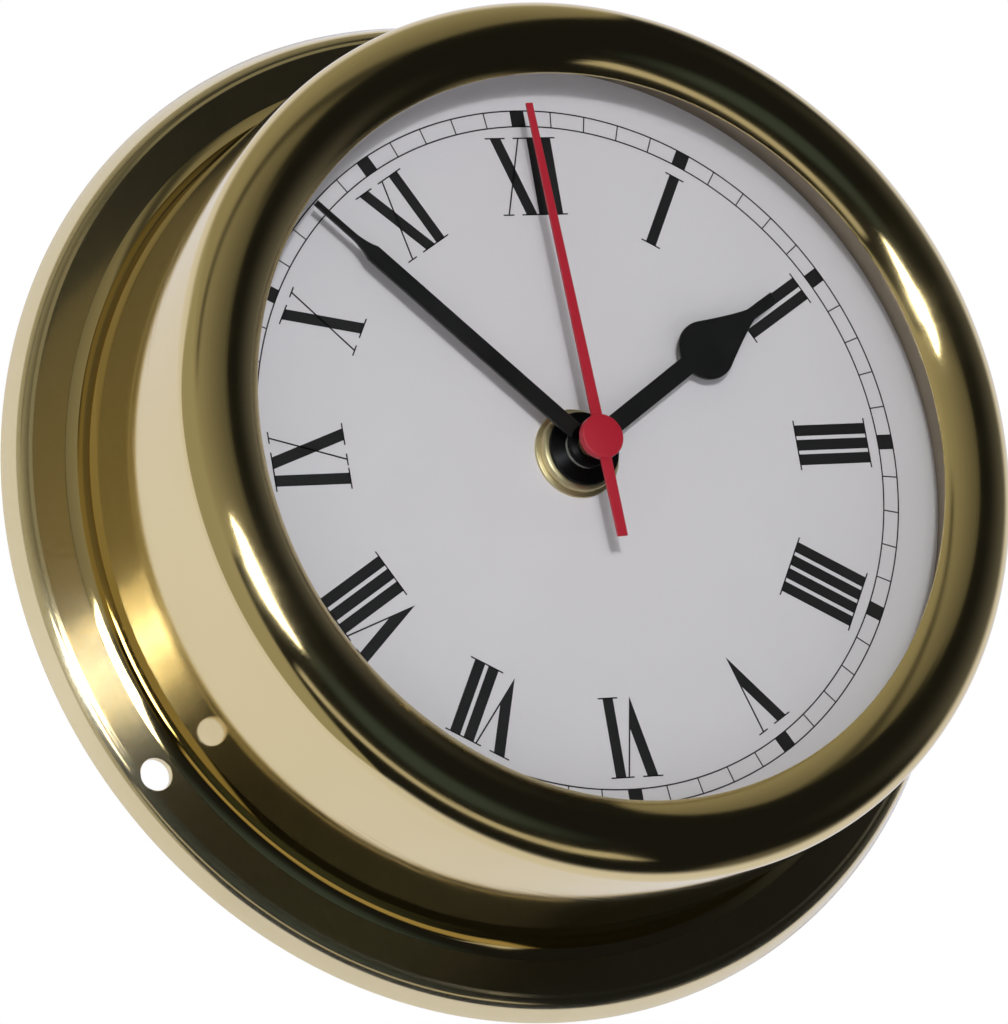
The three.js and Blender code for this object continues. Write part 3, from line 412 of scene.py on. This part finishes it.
def clear_glass():
    """Thin clear glass: it mirrors by its angle, and lets all other light straight through."""
    made = bpy.data.materials.new("clear_glass")
    tree = empty_tree(made)
    output = node(tree, "ShaderNodeOutputMaterial")
    through = node(tree, "ShaderNodeBsdfTransparent")
    put(through, {"Color": (0.985, 0.992, 0.99, 1.0)})
    mirror = node(tree, "ShaderNodeBsdfPrincipled")
    put(mirror, {"Base Color": WHITE, "Metallic": 1.0, "Roughness": 0.02})
    fresnel = node(tree, "ShaderNodeFresnel")
    put(fresnel, {"IOR": 1.45})
    facing = fresnel.outputs[0]
    front = minus(tree, 1.0, node(tree, "ShaderNodeNewGeometry").outputs["Backfacing"])
    both = math_node(tree, "DIVIDE", times(tree, facing, 2.0), plus(tree, facing, 1.0))
    mixed(tree, times(tree, both, front), through, mirror, output)
    return made


# Brass: two tones, roughness, anisotropy, share of rings and their relief
BRASS_TONES = ((0.69, 0.558, 0.278), (0.67, 0.538, 0.26))
BRASS = brass("polished_brass", *BRASS_TONES, 0.055, 0.5, 0.4, 0.12, bezel=(0.1, 0.93))
BRASS_FLAT = brass("turned_brass", *BRASS_TONES, 0.07, 1.0, 0.42, 0.12, hairs=(0.22, 0.52))
BRASS_SATIN = brass("satin_brass", (0.72, 0.63, 0.39), (0.66, 0.57, 0.34), 0.42, 0.6, 0.5, 0.5)
# The spacer ring's brass is given a darker tone: painted shade for the shadow that falls under the bezel's
# lip.
BRASS_SHADED_DULL = brass("dull_brass_painted_shade", (0.35, 0.295, 0.225), (0.31, 0.26, 0.195), 0.38, 0.6, 0.5, 0.6)
BLACK_TURNED = brass("turned_black", (0.02, 0.02, 0.021), (0.014, 0.014, 0.015), 0.45, 0.9, 0.45, 0.2)
GLASS = clear_glass()
# The rest: two tones, roughness, metallic, grain per metre and its relief
DIAL_PAINT = plain("dial_paint", (0.775, 0.745, 0.785), (0.757, 0.728, 0.768), 0.5, 0.0, 2600.0, 0.05)
PRINT = plain("dial_print", (0.006, 0.0058, 0.007), (0.01, 0.0095, 0.011), 0.55, 0.0, 3000.0, 0.05)
BLACK_PAINT = plain("hand_black", (0.004, 0.004, 0.0042), (0.006, 0.006, 0.0064), 0.42, 0.0, 2200.0, 0.1)
RED_PAINT = plain("hand_red", (0.5, 0.016, 0.036), (0.46, 0.013, 0.031), 0.42, 0.0, 2200.0, 0.1)
RUBBER = plain("black_rubber", (0.012, 0.012, 0.012), (0.02, 0.02, 0.02), 0.8, 0.0, 1500.0, 0.3)
STEEL = plain("plain_steel", (0.42, 0.43, 0.44), (0.36, 0.37, 0.38), 0.36, 1.0, 1800.0)
PLASTIC = plain("black_plastic", (0.014, 0.0145, 0.015), (0.02, 0.0205, 0.021), 0.5, 0.0, 1400.0, 0.35)
WHITE_PLASTIC = plain("white_plastic", (0.78, 0.76, 0.7), (0.74, 0.72, 0.66), 0.45, 0.0, 1400.0)
BOARD = plain("board_laminate", (0.02, 0.12, 0.05), (0.03, 0.15, 0.07), 0.4, 0.0, 1200.0)
COPPER = plain("copper_wire", (0.55, 0.2, 0.07), (0.45, 0.15, 0.05), 0.35, 1.0, 2500.0, 0.5)
MAGNET = plain("magnet", (0.09, 0.085, 0.08), (0.06, 0.06, 0.058), 0.5, 0.7)


def cell_sleeve():
    """A plain printed sleeve: a dark body with a pale ring round its plus end."""
    made, tree, shader = material("cell_sleeve")
    coordinate = node(tree, "ShaderNodeTexCoord").outputs["Object"]
    ring = math_node(tree, "GREATER_THAN", parts(tree, coordinate)[0], CELL_RING)
    link(tree, between(tree, ring, (0.03, 0.032, 0.036), (0.62, 0.5, 0.22)), shader.inputs["Base Color"])
    link(tree, spread(tree, ring, 0.3, 0.24, 0.0, 1.0), shader.inputs["Roughness"])
    link(tree, spread(tree, ring, 0.0, 0.9, 0.0, 1.0), shader.inputs["Metallic"])
    bump(tree, shader, noise(tree, coordinate, 300.0, 2.0), 0.05, GRAIN_DEPTH)
    return made


CELL = cell_sleeve()


def dress(piece, finish, body, slot, *nodes):
    """Gives a new piece its material and body, and hides the solids that it stands for. The slot is not used.
    """
    piece.data.materials.clear()
    piece.data.materials.append(finish)
    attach(piece, body)
    if nodes:
        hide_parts(*nodes)


# Case


def shell_profile():
    """Drum and bezel: a sloped foot with a sharp crest, a straight wall and a half-round bezel with a lip."""
    outer_round, inner_round, lip_round = (5.1, 3.7), 5.9, 0.33
    wall = DRUM_RADIUS - DRUM_BORE
    spring = CROWN - outer_round[1]
    base, ledge, foot_run = 3.55, 3.8, 1.3
    profile = [(DRUM_BORE, base), (FOOT_RADIUS, base)]
    for t in (k / 14 for k in range(15)):
        rise = 0.31 * t + 0.1 * t * t
        profile.append((FOOT_RADIUS - foot_run * t, base + 0.005 + foot_run * rise))
    profile += [(55.28, 4.0), (54.55, ledge)]  # crest and ledge
    profile += [(DRUM_RADIUS, ledge + (spring - ledge) * k / 6) for k in range(6)]
    profile += arc((CROWN_RADIUS, spring), outer_round, 0, 90, 30)
    profile += arc((CROWN_RADIUS, CROWN - inner_round), (inner_round, inner_round), 90, 136, 18)[1:]
    profile += tilted(profile[-1], -46, -100, lip_round, 8)[1:]
    profile += [(45.3, LIP), (46.4, LIP), (46.6, LIP + 0.25)]  # the lip's seat on the glass
    profile += arc((CROWN_RADIUS, CROWN - 3.3), (2.3, 2.3), 140, 90, 10)
    profile += arc((CROWN_RADIUS, spring), (outer_round[0] - wall, outer_round[1] - wall), 90, 0, 12)[1:]
    profile += [(DRUM_BORE, spring + (base - spring) * k / 5) for k in range(1, 5)]
    return profile


def flange_profile():
    """Wall flange: a leaning rim, a rounding, a sloped step, a turned flat and a collar inside the drum."""
    face_edge, face_pitch = 60.72, 0.52
    collar_bore, collar, collar_top, chamfer, back = 52.45, 53.45, 8.0, 0.2, 2.5
    profile = [(RIM_RADIUS - 0.1, 0.0), (RIM_RADIUS, 0.1), (RIM_RADIUS, 0.18), (63.0, 1.25)]  # rim
    profile += list(reversed(tilted((61.32, 3.275), 8, 65, 1.62, 20)))  # rounding
    profile += [(61.24, 3.285)]
    profile += arc((61.21, 3.37), (0.08, 0.08), -82, -115, 4)  # step
    profile += arc((60.76, 3.4), (0.1, 0.1), 65, 90, 4)
    profile += [(face_edge - k * face_pitch, FLANGE_FACE) for k in range(1, 9)]
    profile += [(collar, FLANGE_FACE), (collar, collar_top - chamfer), (collar - chamfer, collar_top)]
    profile += [(collar_bore + chamfer, collar_top), (collar_bore, collar_top - chamfer), (collar_bore, back)]
    profile += [(60.8, back), (61.5, 2.05), (62.5, 0.1), (62.6, 0.0)]
    return profile


def drill(turn):
    """A cutter for one screw hole, flared at the flange's face."""
    back, front, flare = 1.0, 3.62, 0.2
    bm = bmesh.new()
    profile = [(0.0, back), (SCREW_HOLE, back), (SCREW_HOLE, front - flare)]
    profile += [(SCREW_HOLE + flare, front), (0.0, front)]
    turned(bm, profile, DRILL_SIDES, False, about(*spun([(0.0, SCREW_CIRCLE)], turn)[0]))
    return new_piece(f"drill_{turn:.0f}", bm)


shell = lathe("case_shell_turned", shell_profile(), crease=CASE_CREASE)
dress(shell, BRASS, "case", "polished_brass", "case_shell")

flange = lathe("mounting_flange_turned", flange_profile(), crease=CASE_CREASE)
cut(flange, [drill(turn) for turn in SCREW_TURNS])
dress(flange, BRASS_FLAT, "case", "polished_brass", "mounting_flange")

spacer = lathe("spacer_ring_turned", [
    (SPACER_RADIUS, 25.9), (SPACER_RADIUS + 0.1, 25.8), (53.4, 25.8), (53.4, 27.0), (GLASS_RADIUS, 27.0),
    (GLASS_RADIUS, 33.37), (SPACER_RADIUS + 0.15, 33.37), (SPACER_RADIUS, 33.2),
], crease=CASE_CREASE)
dress(spacer, BRASS_SHADED_DULL, "case", "satin_brass", "spacer_ring")

pane = lathe("glass_pane", [
    (0.0, GLASS_BACK), (GLASS_RADIUS - 0.15, GLASS_BACK), (GLASS_RADIUS, GLASS_BACK + 0.15),
    (GLASS_RADIUS, GLASS_FRONT - 0.15), (GLASS_RADIUS - 0.15, GLASS_FRONT), (0.0, GLASS_FRONT),
], closed=False)
dress(pane, GLASS, "case", "clear_glass", "glass")

washer = lathe("brass_washer_turned", [
    (4.1, 25.8), (5.5, 25.8), *arc((5.35, 26.08), (0.15, 0.12), 0, 90, 4), (4.1, 26.2),
], HUB_SIDES)
dress(washer, BRASS_SATIN, "case", "satin_brass", "brass_washer")

nut = lathe("bush_nut_turned", [
    (4.1, 26.25), (4.85, 26.25), (5.0, 26.4), (5.0, 27.1),
    *arc((4.65, 27.1), (0.35, 0.35), 0, 90, 5), (4.1, 27.45),
], HUB_SIDES)
dress(nut, BRASS_SATIN, "case", "satin_brass", "bush_nut")

# Dial print: a minute track and Roman numerals with their tops outwards

PRINT_FRONT = DIAL_FACE + 0.03
NUMERAL_FOOT = 30.1
NUMERAL_TOP = 40.0
BAR_HALF = 0.68
BAR_PITCH = 1.84
HAIR = 0.1  # half a hairline
SERIF = 0.17
SERIF_REACH = 0.62
THICK_HALF = 0.72  # half a thick slanted stroke


def quad(bm, corners, turn):
    slab(bm, spun(corners, turn), DIAL_FACE, PRINT_FRONT)


def stroke(bm, turn, top, foot, half):
    """A stroke from its foot to its top, both given by their middle along the dial's tangent."""
    quad(bm, [(foot - half, NUMERAL_FOOT), (foot + half, NUMERAL_FOOT), (top + half, NUMERAL_TOP),
              (top - half, NUMERAL_TOP)], turn)


def serif(bm, turn, middle, half, top):
    low = NUMERAL_TOP - SERIF if top else NUMERAL_FOOT
    quad(bm, [(middle - half, low), (middle + half, low), (middle + half, low + SERIF),
              (middle - half, low + SERIF)], turn)


def bars(bm, turn, first, count):
    last = first + (count - 1) * BAR_PITCH
    for k in range(count):
        stroke(bm, turn, first + k * BAR_PITCH, first + k * BAR_PITCH, BAR_HALF)
    for top in (True, False):
        serif(bm, turn, (first + last) / 2, (last - first) / 2 + BAR_HALF + SERIF_REACH, top)


def letter_x(bm, turn, middle):
    thick, thin = 1.65, 1.5
    stroke(bm, turn, middle - thick, middle + thick, THICK_HALF)
    stroke(bm, turn, middle + thin, middle - thin, HAIR)
    for top, side in ((True, -thick), (False, thick)):
        serif(bm, turn, middle + side, THICK_HALF + SERIF_REACH, top)
    for top, side in ((True, thin), (False, -thin)):
        serif(bm, turn, middle + side, HAIR + SERIF_REACH, top)


def letter_v(bm, turn, point):
    foot, notch = (point, NUMERAL_FOOT), (point + 0.59, NUMERAL_TOP - 5.95)
    quad(bm, [(point - 2.08, NUMERAL_TOP), foot, notch, (point - 0.65, NUMERAL_TOP)], turn)
    quad(bm, [foot, (point + 1.95, NUMERAL_TOP), (point + 1.75, NUMERAL_TOP), notch], turn)
    serif(bm, turn, point - 1.37, THICK_HALF + SERIF_REACH, True)
    serif(bm, turn, point + 1.85, HAIR + SERIF_REACH, True)


def numerals():
    bm = bmesh.new()
    bars(bm, 30, 0.0, 1)
    bars(bm, 60, -0.5 * BAR_PITCH, 2)
    bars(bm, 90, -BAR_PITCH, 3)
    bars(bm, 120, -1.5 * BAR_PITCH, 4)
    letter_v(bm, 150, -0.2)
    letter_v(bm, 180, -1.4)
    bars(bm, 180, 1.5, 1)
    letter_v(bm, 210, -2.1)
    bars(bm, 210, 0.75, 2)
    letter_v(bm, 240, -3.0)
    bars(bm, 240, -0.15, 3)
    bars(bm, 270, -1.85, 1)
    letter_x(bm, 270, 1.95)
    letter_x(bm, 300, 0.0)
    letter_x(bm, 330, -1.0)
    bars(bm, 330, 2.3, 1)
    letter_x(bm, 0, -1.9)
    bars(bm, 0, 1.4, 2)
    return new_piece("dial_numerals", bm)


TRACK_INNER = 41.4
TRACK_OUTER = 43.4
TRACK_LINE = 0.17
HOUR_BLOCK_HALF = 0.93
MINUTE_LINE_HALF = 0.075


def track():
    bm = bmesh.new()
    for radius in (TRACK_INNER, TRACK_OUTER):
        low, high = radius - TRACK_LINE / 2, radius + TRACK_LINE / 2
        turned(bm, [(low, DIAL_FACE), (high, DIAL_FACE), (high, PRINT_FRONT), (low, PRINT_FRONT)], SIDES)
    for minute in range(60):
        half = HOUR_BLOCK_HALF if minute % 5 == 0 else MINUTE_LINE_HALF
        block = [(-half, TRACK_INNER), (half, TRACK_INNER), (half, TRACK_OUTER), (-half, TRACK_OUTER)]
        quad(bm, block, minute * 6.0)
    return new_piece("dial_track", bm)


for piece in (numerals(), track()):
    dress(piece, PRINT, "case", "black_paint")

# Hands

HOUR_TURN, MINUTE_TURN, SECOND_TURN = 58.0, 315.3, 357.5
HOUR_BACK, HOUR_FRONT = 28.0, 28.4
MINUTE_BACK, MINUTE_FRONT = 29.5, 29.9
SECOND_BACK, SECOND_FRONT = 32.5, 32.9
CAP_BACK, CAP_FRONT = 32.3, 33.25
HAND_BEVEL = 0.07


def curve(start, control, end, steps):
    """Points on a quadratic curve, without its start."""
    points = []
    for k in range(1, steps + 1):
        t = k / steps
        a, b, c = (1 - t) ** 2, 2 * t * (1 - t), t * t
        points.append(tuple(a * start[i] + b * control[i] + c * end[i] for i in (0, 1)))
    return points


def hour_outline():
    """Right half of the spade, from the stem's foot to the tip."""
    stem, bulb, radius, neck, neck_half, tip, tip_half = 1.17, 22.0, 3.7, 30.2, 0.75, 34.4, 0.6
    start = math.degrees(math.asin(-math.sqrt(radius ** 2 - stem ** 2) / radius))
    half = [(stem, 0.0)] + arc((0.0, bulb), (radius, radius), start, 25, 18)
    shoulder = half[-1]
    control = ((shoulder[0] + neck_half) / 3, (shoulder[1] + 2 * neck) / 3)
    half += curve(shoulder, control, (neck_half, neck), 10)
    return half + [(tip_half, tip)]


def both_sides(half):
    return half + [(-x, y) for x, y in reversed(half)]


def hand(name, half, turn, back, front, finish, body, slot, cad):
    bm = bmesh.new()
    slab(bm, spun(both_sides(half), turn), back, front, HAND_BEVEL)
    dress(new_piece(name, bm), finish, body, slot, cad)


def hub(name, profile, finish, body, slot, cad):
    dress(lathe(name, profile, HUB_SIDES), finish, body, slot, cad)


minute_half = [(1.1, 0.0), (1.1, 34.6), *curve((1.1, 34.6), (0.62, 35.4), (0.4, 37.4), 6), (0.36, 43.6)]
second_half = [(0.64, -12.3), (0.72, -2.0), (0.72, 0.0), (0.42, 42.0)]
hour_eye = [(2.65, 27.8), (4.5, 27.8), *arc((4.4, 28.2), (0.1, 0.1), 0, 75, 4), (2.65, HOUR_FRONT)]
minute_eye = [(1.7, 29.0), (2.7, 29.0), *arc((2.58, 29.78), (0.12, 0.12), 0, 90, 4), (1.7, MINUTE_FRONT)]
second_cap = [
    (0.6, CAP_BACK), (2.72, CAP_BACK), *arc((2.5, 33.03), (0.22, 0.22), 0, 90, 6),
    (0.0, CAP_FRONT), (0.0, 33.0), (0.6, 33.0),
]
hour_ride = ("hour_train", "black_paint", "hour_hand")
minute_ride = ("minute_train", "black_paint", "minute_hand")
second_ride = ("second_train", "red_paint", "second_hand")
hand("hour_hand_blade", hour_outline(), HOUR_TURN, HOUR_BACK, HOUR_FRONT, BLACK_PAINT, *hour_ride)
hub("hour_hand_eye", hour_eye, BLACK_TURNED, *hour_ride)
hand("minute_hand_blade", minute_half, MINUTE_TURN, MINUTE_BACK, MINUTE_FRONT, BLACK_PAINT, *minute_ride)
hub("minute_hand_eye", minute_eye, BLACK_TURNED, *minute_ride)
hand("second_hand_blade", second_half, SECOND_TURN, SECOND_BACK, SECOND_FRONT, RED_PAINT, *second_ride)
hub("second_hand_cap", second_cap, RED_PAINT, *second_ride)

# Back of the movement

KNOB_X, KNOB_Y = 18.4752, 1.6164
KNOB_RADIUS, KNOB_BORE, KNOB_FRONT = 5.0, 1.05, 8.35
KNOB_FLUTES, FLUTE_DEPTH, KNOB_CREASE = 20, 0.3, 40.0
CELL_Y, CELL_Z = -19.35, 15.85
CELL_RADIUS, CELL_ROLL = 7.25, 0.5
RING_RISE, SIGN_RISE = 0.35, 0.15


def fluted_knob():
    """A fluted knob with a chamfered back rim, a dished back face and a blind bore for its arbor."""
    bm = bmesh.new()
    steps = 200
    axis = about(KNOB_X, KNOB_Y)

    def ring(height, radius, flute=0.0):
        corners = []
        for k in range(steps):
            angle = 2 * math.pi * k / steps
            depth = flute * (0.5 + 0.5 * math.cos(KNOB_FLUTES * angle)) ** 2
            corners.append(bm.verts.new(axis(radius - depth, height, angle)))
        return corners

    rings = [
        ring(KNOB_FRONT, KNOB_BORE),
        ring(KNOB_FRONT, KNOB_RADIUS - 0.2, FLUTE_DEPTH),
        ring(KNOB_FRONT - 0.25, KNOB_RADIUS, FLUTE_DEPTH),
        ring(KNOB_BACK + 0.4, KNOB_RADIUS, FLUTE_DEPTH),
        ring(KNOB_BACK, KNOB_RADIUS - 0.4, FLUTE_DEPTH),
        ring(KNOB_BACK, 3.6),
        ring(KNOB_BACK + 0.5, 3.2),
        ring(KNOB_BACK + 0.5, 0.4),
    ]
    for low, high in zip(rings, rings[1:]):
        band(bm, low, high)
    bm.faces.new(rings[-1])
    bore_end = ring(6.4, KNOB_BORE)
    band(bm, rings[0], bore_end)
    bm.faces.new(bore_end)
    return new_piece("setting_knob_fluted", bm, KNOB_CREASE)


dress(fluted_knob(), PLASTIC, "setting", "black_plastic", "setting_knob")


def battery_cell():
    """An AA cell along x, with rolled ends and a plus cap."""
    bm = bmesh.new()
    roll, roll_radii = CELL_RADIUS - CELL_ROLL, (CELL_ROLL, CELL_ROLL)
    profile = [(0.0, -24.1), (4.6, -24.1), (4.9, -23.9), (6.2, -23.9), (6.5, -24.1)]
    profile += arc((roll, -23.6), roll_radii, -90, 0, 6)
    profile += [(CELL_RADIUS, along) for along in (-12.0, 0.0, 12.5, 24.6)]
    profile += arc((roll, 24.8), roll_radii, 0, 90, 6)
    profile += [(6.4, 25.3), (6.1, 25.1), (3.2, 25.1), (2.75, 25.3)]
    profile += [*arc((2.45, 26.1), (0.3, 0.3), 0, 90, 4), (0.0, 26.4)]
    turned(bm, profile, HUB_SIDES, False,
           lambda r, h, a: place(h, CELL_Y + r * math.cos(a), CELL_Z + r * math.sin(a)))
    return new_piece("battery_cell", bm)


dress(battery_cell(), CELL, "cell", "cell_sleeve", "battery")


def cover_marks():
    """Raised marks on the cover: a ring round the setting knob, and the cell's plus and minus."""
    bm = bmesh.new()
    low, high = COVER_BACK, COVER_BACK - RING_RISE
    ring = [(5.7, low), (6.3, low), (6.2, high), (5.8, high)]
    turned(bm, ring, HUB_SIDES, True, about(KNOB_X, KNOB_Y))
    for x0, y0, x1, y1 in ((20.6, -9.1, 23.4, -8.5), (21.7, -10.2, 22.3, -7.4), (-23.4, -9.1, -20.6, -8.5)):
        slab(bm, [(x0, y0), (x1, y0), (x1, y1), (x0, y1)], COVER_BACK - SIGN_RISE, COVER_BACK)
    return new_piece("cover_marks", bm)


dress(cover_marks(), PLASTIC, "case", "black_plastic")

# Solids that show as they are, or lie inside

FINISHES = {
    DIAL_PAINT: ["dial"],
    RUBBER: ["glass_gasket", "rubber_washer"],
    STEEL: ["dial_retaining_ring", "crystal", "stator", "coil_core", "rotor_pinion", "second_arbor",
            "setting_arbor", "positive_contact", "negative_contact"],
    BRASS_SATIN: ["threaded_bush", "cannon_pinion"],
    PLASTIC: ["movement_front_case", "movement_back_cover", "chip"],
    WHITE_PLASTIC: ["coil_bobbin", "fifth_wheel", "second_wheel", "third_wheel", "centre_wheel",
                    "minute_wheel", "hour_wheel"],
    BOARD: ["circuit_board"],
    COPPER: ["coil_winding"],
    MAGNET: ["rotor_magnet"],
}
for finish, names in FINISHES.items():
    for name in names:
        solid = frame["nodes"][name]
        solid.data.materials.clear()
        solid.data.materials.append(finish)

EDGE_WIDTH, EDGE_ANGLE = 0.00025, 40.0  # metres and degrees
for name in ("movement_front_case", "movement_back_cover"):
    soften = frame["nodes"][name].modifiers.new("edge", "BEVEL")
    soften.width = EDGE_WIDTH
    soften.segments = 2
    soften.limit_method = "ANGLE"
    soften.angle_limit = math.radians(EDGE_ANGLE)

# Stage: floor, light and camera

FLOOR_Z, FLOOR_HALF, FLOOR_GLOW = -0.32, 3.0, 0.3  # metres and the floor's own light
SHEET_Y, SHEET_RADIUS, SHEET_SIDES = 0.0008, 0.1, 64
PALE = (0.855, 0.88, 1.06)  # the white ground behind the clock, as its brass mirrors it


def floor():
    bm = bmesh.new()
    corners = [(-1, -1), (1, -1), (1, 1), (-1, 1)]
    bm.faces.new([bm.verts.new((x * FLOOR_HALF, y * FLOOR_HALF, FLOOR_Z)) for x, y in corners])
    made = new_piece("floor", bm)
    finish, tree, shader = material("floor")
    put(shader, {"Base Color": (0.86, 0.86, 0.86, 1.0), "Roughness": 0.9, "Emission Color": WHITE})
    path = node(tree, "ShaderNodeLightPath")
    link(tree, times(tree, path.outputs["Is Camera Ray"], FLOOR_GLOW), shader.inputs["Emission Strength"])
    made.data.materials.append(finish)
    made.visible_glossy = False


def sheet():
    """A pale sheet close behind the flange, which only mirror-bright faces show: the rim reflects it."""
    bm = bmesh.new()
    corners = []
    for turn in (math.tau * k / SHEET_SIDES for k in range(SHEET_SIDES)):
        corners.append((SHEET_RADIUS * math.cos(turn), SHEET_RADIUS * math.sin(turn)))
    bm.faces.new([bm.verts.new((x, SHEET_Y, z)) for x, z in corners])
    made = new_piece("sheet", bm)
    finish, tree, shader = material("sheet")
    put(shader, {"Base Color": BLACK, "Emission Color": (*PALE, 1.0), "Emission Strength": 1.0})
    made.data.materials.append(finish)
    made.visible_camera = made.visible_diffuse = made.visible_shadow = made.visible_transmission = False


def world():
    """A dim room before the clock, a grey wall up and to its left, and pale surroundings behind it.

    Directions are read in degrees from straight out of the dial: across to the right, up to twelve o'clock.
    Each patch is a factor from 0 to 1, and its colour is laid over those before it.
    """
    made = bpy.data.worlds.new("studio")
    bpy.context.scene.world = made
    tree = empty_tree(made)
    output = node(tree, "ShaderNodeOutputWorld")
    x, y, z = parts(tree, node(tree, "ShaderNodeTexCoord").outputs["Generated"])

    def soft(value, low, high):
        """Rises from 0 at low to 1 at high, also where low is the larger."""
        ends = (0.0, 1.0) if low < high else (1.0, 0.0)
        return spread(tree, value, *ends, min(low, high), max(low, high), "SMOOTHSTEP")

    def off(value, middle):
        return math_node(tree, "ABSOLUTE", minus(tree, value, middle))

    angle = times(tree, math_node(tree, "ARCCOSINE", times(tree, y, -1.0)), 180.0 / math.pi)
    flat = math_node(tree, "MAXIMUM", length(tree, x, z), 0.0001)
    east, north = math_node(tree, "DIVIDE", x, flat), math_node(tree, "DIVIDE", z, flat)
    across, up = times(tree, angle, east), times(tree, angle, north)

    def towards(degrees):
        """The cosine of the turn round the dial's axis from a direction, anticlockwise from three o'clock."""
        turn = math.radians(degrees)
        return plus(tree, times(tree, east, math.cos(turn)), times(tree, north, math.sin(turn)))

    def away(a, b):
        return length(tree, minus(tree, across, a), minus(tree, up, b))

    def side(a, b, normal_a, normal_b, width):
        """1 on the side of a line through (a, b) that its normal points to."""
        reach_a = times(tree, minus(tree, across, a), normal_a)
        reach_b = times(tree, minus(tree, up, b), normal_b)
        return soft(plus(tree, reach_a, reach_b), -width, width)

    mirrored = (28.0, 15.0)  # where faces that lie flat send the camera's view
    bluish = soft(away(5.0, -12.0), 20.0, 6.0)
    right = times(tree, soft(across, 35.0, 100.0), soft(off(up, 12.0), 45.0, 25.0))
    corner = soft(away(60.0, -68.0), 24.0, 8.0)
    strip = times(tree, soft(off(angle, 46.0), 7.0, 4.0), soft(towards(256.0), 0.70, 0.75))
    below, above = side(*mirrored, -0.608, -0.793, 2.0), side(29.5, 46.0, -0.782, 0.623, 2.0)
    wall = times(tree, math_node(tree, "MAXIMUM", below, above), side(*mirrored, -0.236, 0.972, 2.0))
    fading = spread(tree, away(*mirrored), 0.28, 1.0, 10.0, 75.0)
    wall = times(tree, wall, times(tree, soft(away(*mirrored), 7.0, 11.0), fading))
    seam = times(tree, soft(off(away(-10.0, 13.0), 37.0), 7.0, 1.0), soft(up, 24.0, 36.0))
    wall = times(tree, wall, minus(tree, 1.0, times(tree, seam, 0.75)))
    card = side(-52.0, 0.0, -1.0, 0.0, 3.0)
    left = soft(towards(190.0), 0.6, 0.85)
    shift = plus(tree, times(tree, left, 26.0), times(tree, soft(north, 0.4, 0.95), 12.0))
    edge = minus(tree, minus(tree, angle, shift), 93.0)
    pale = soft(math_node(tree, "DIVIDE", edge, minus(tree, 10.0, times(tree, left, 8.5))), -1.0, 1.0)

    room = (0.012, 0.013, 0.014)
    for patch, colour in (
        (bluish, (0.05, 0.072, 0.085)),
        (right, (0.15, 0.155, 0.17)),
        (corner, (0.15, 0.145, 0.14)),
        (strip, (0.62, 0.6, 0.56)),
        (wall, (0.36, 0.345, 0.27)),
        (card, (0.42, 0.41, 0.33)),
        (pale, PALE),
    ):
        room = between(tree, patch, room, colour)
    surround = node(tree, "ShaderNodeBackground")
    link(tree, room, surround.inputs["Color"])
    seen = node(tree, "ShaderNodeBackground")
    put(seen, {"Color": WHITE})
    mixed(tree, node(tree, "ShaderNodeLightPath").outputs["Is Camera Ray"], surround, seen, output)


def softbox(name, direction, distance, size, power):
    data = bpy.data.lights.new(name, "AREA")
    data.shape = "RECTANGLE"
    data.size, data.size_y = size
    data.energy = power
    lamp = bpy.data.objects.new(name, data)
    bpy.context.collection.objects.link(lamp)
    towards = Vector(direction).normalized()
    lamp.location = Vector((0.0, -DIAL_FACE * MM, 0.0)) + towards * distance
    lamp.rotation_euler = towards.to_track_quat("Z", "Y").to_euler()


CAMERA_PLACE = (-0.401977, -0.770486, -0.217672)
CAMERA_RIGHT = (0.891703, -0.421720, -0.164370)
CAMERA_UP = (0.038598, -0.290979, 0.955950)
CAMERA_BACK = (-0.450972, -0.858768, -0.243190)
CAMERA_LENS, CAMERA_SENSOR = 257.622, 36.0


def camera():
    data = bpy.data.cameras.new("camera")
    data.lens = CAMERA_LENS
    data.sensor_width = CAMERA_SENSOR
    made = bpy.data.objects.new("camera", data)
    bpy.context.collection.objects.link(made)
    turn = Matrix((CAMERA_RIGHT, CAMERA_UP, CAMERA_BACK)).transposed()
    made.matrix_world = Matrix.Translation(CAMERA_PLACE) @ turn.to_4x4()
    bpy.context.scene.camera = made


floor()
sheet()
world()
softbox("key_lamp", (-0.33, -0.944, 0.004), 1.3, (0.06, 0.06), 5.0)
softbox("key_softbox", (-0.29, -0.957, 0.0), 1.35, (0.33, 0.28), 4.2)
camera()
bpy.context.scene.view_settings.view_transform = "Standard"
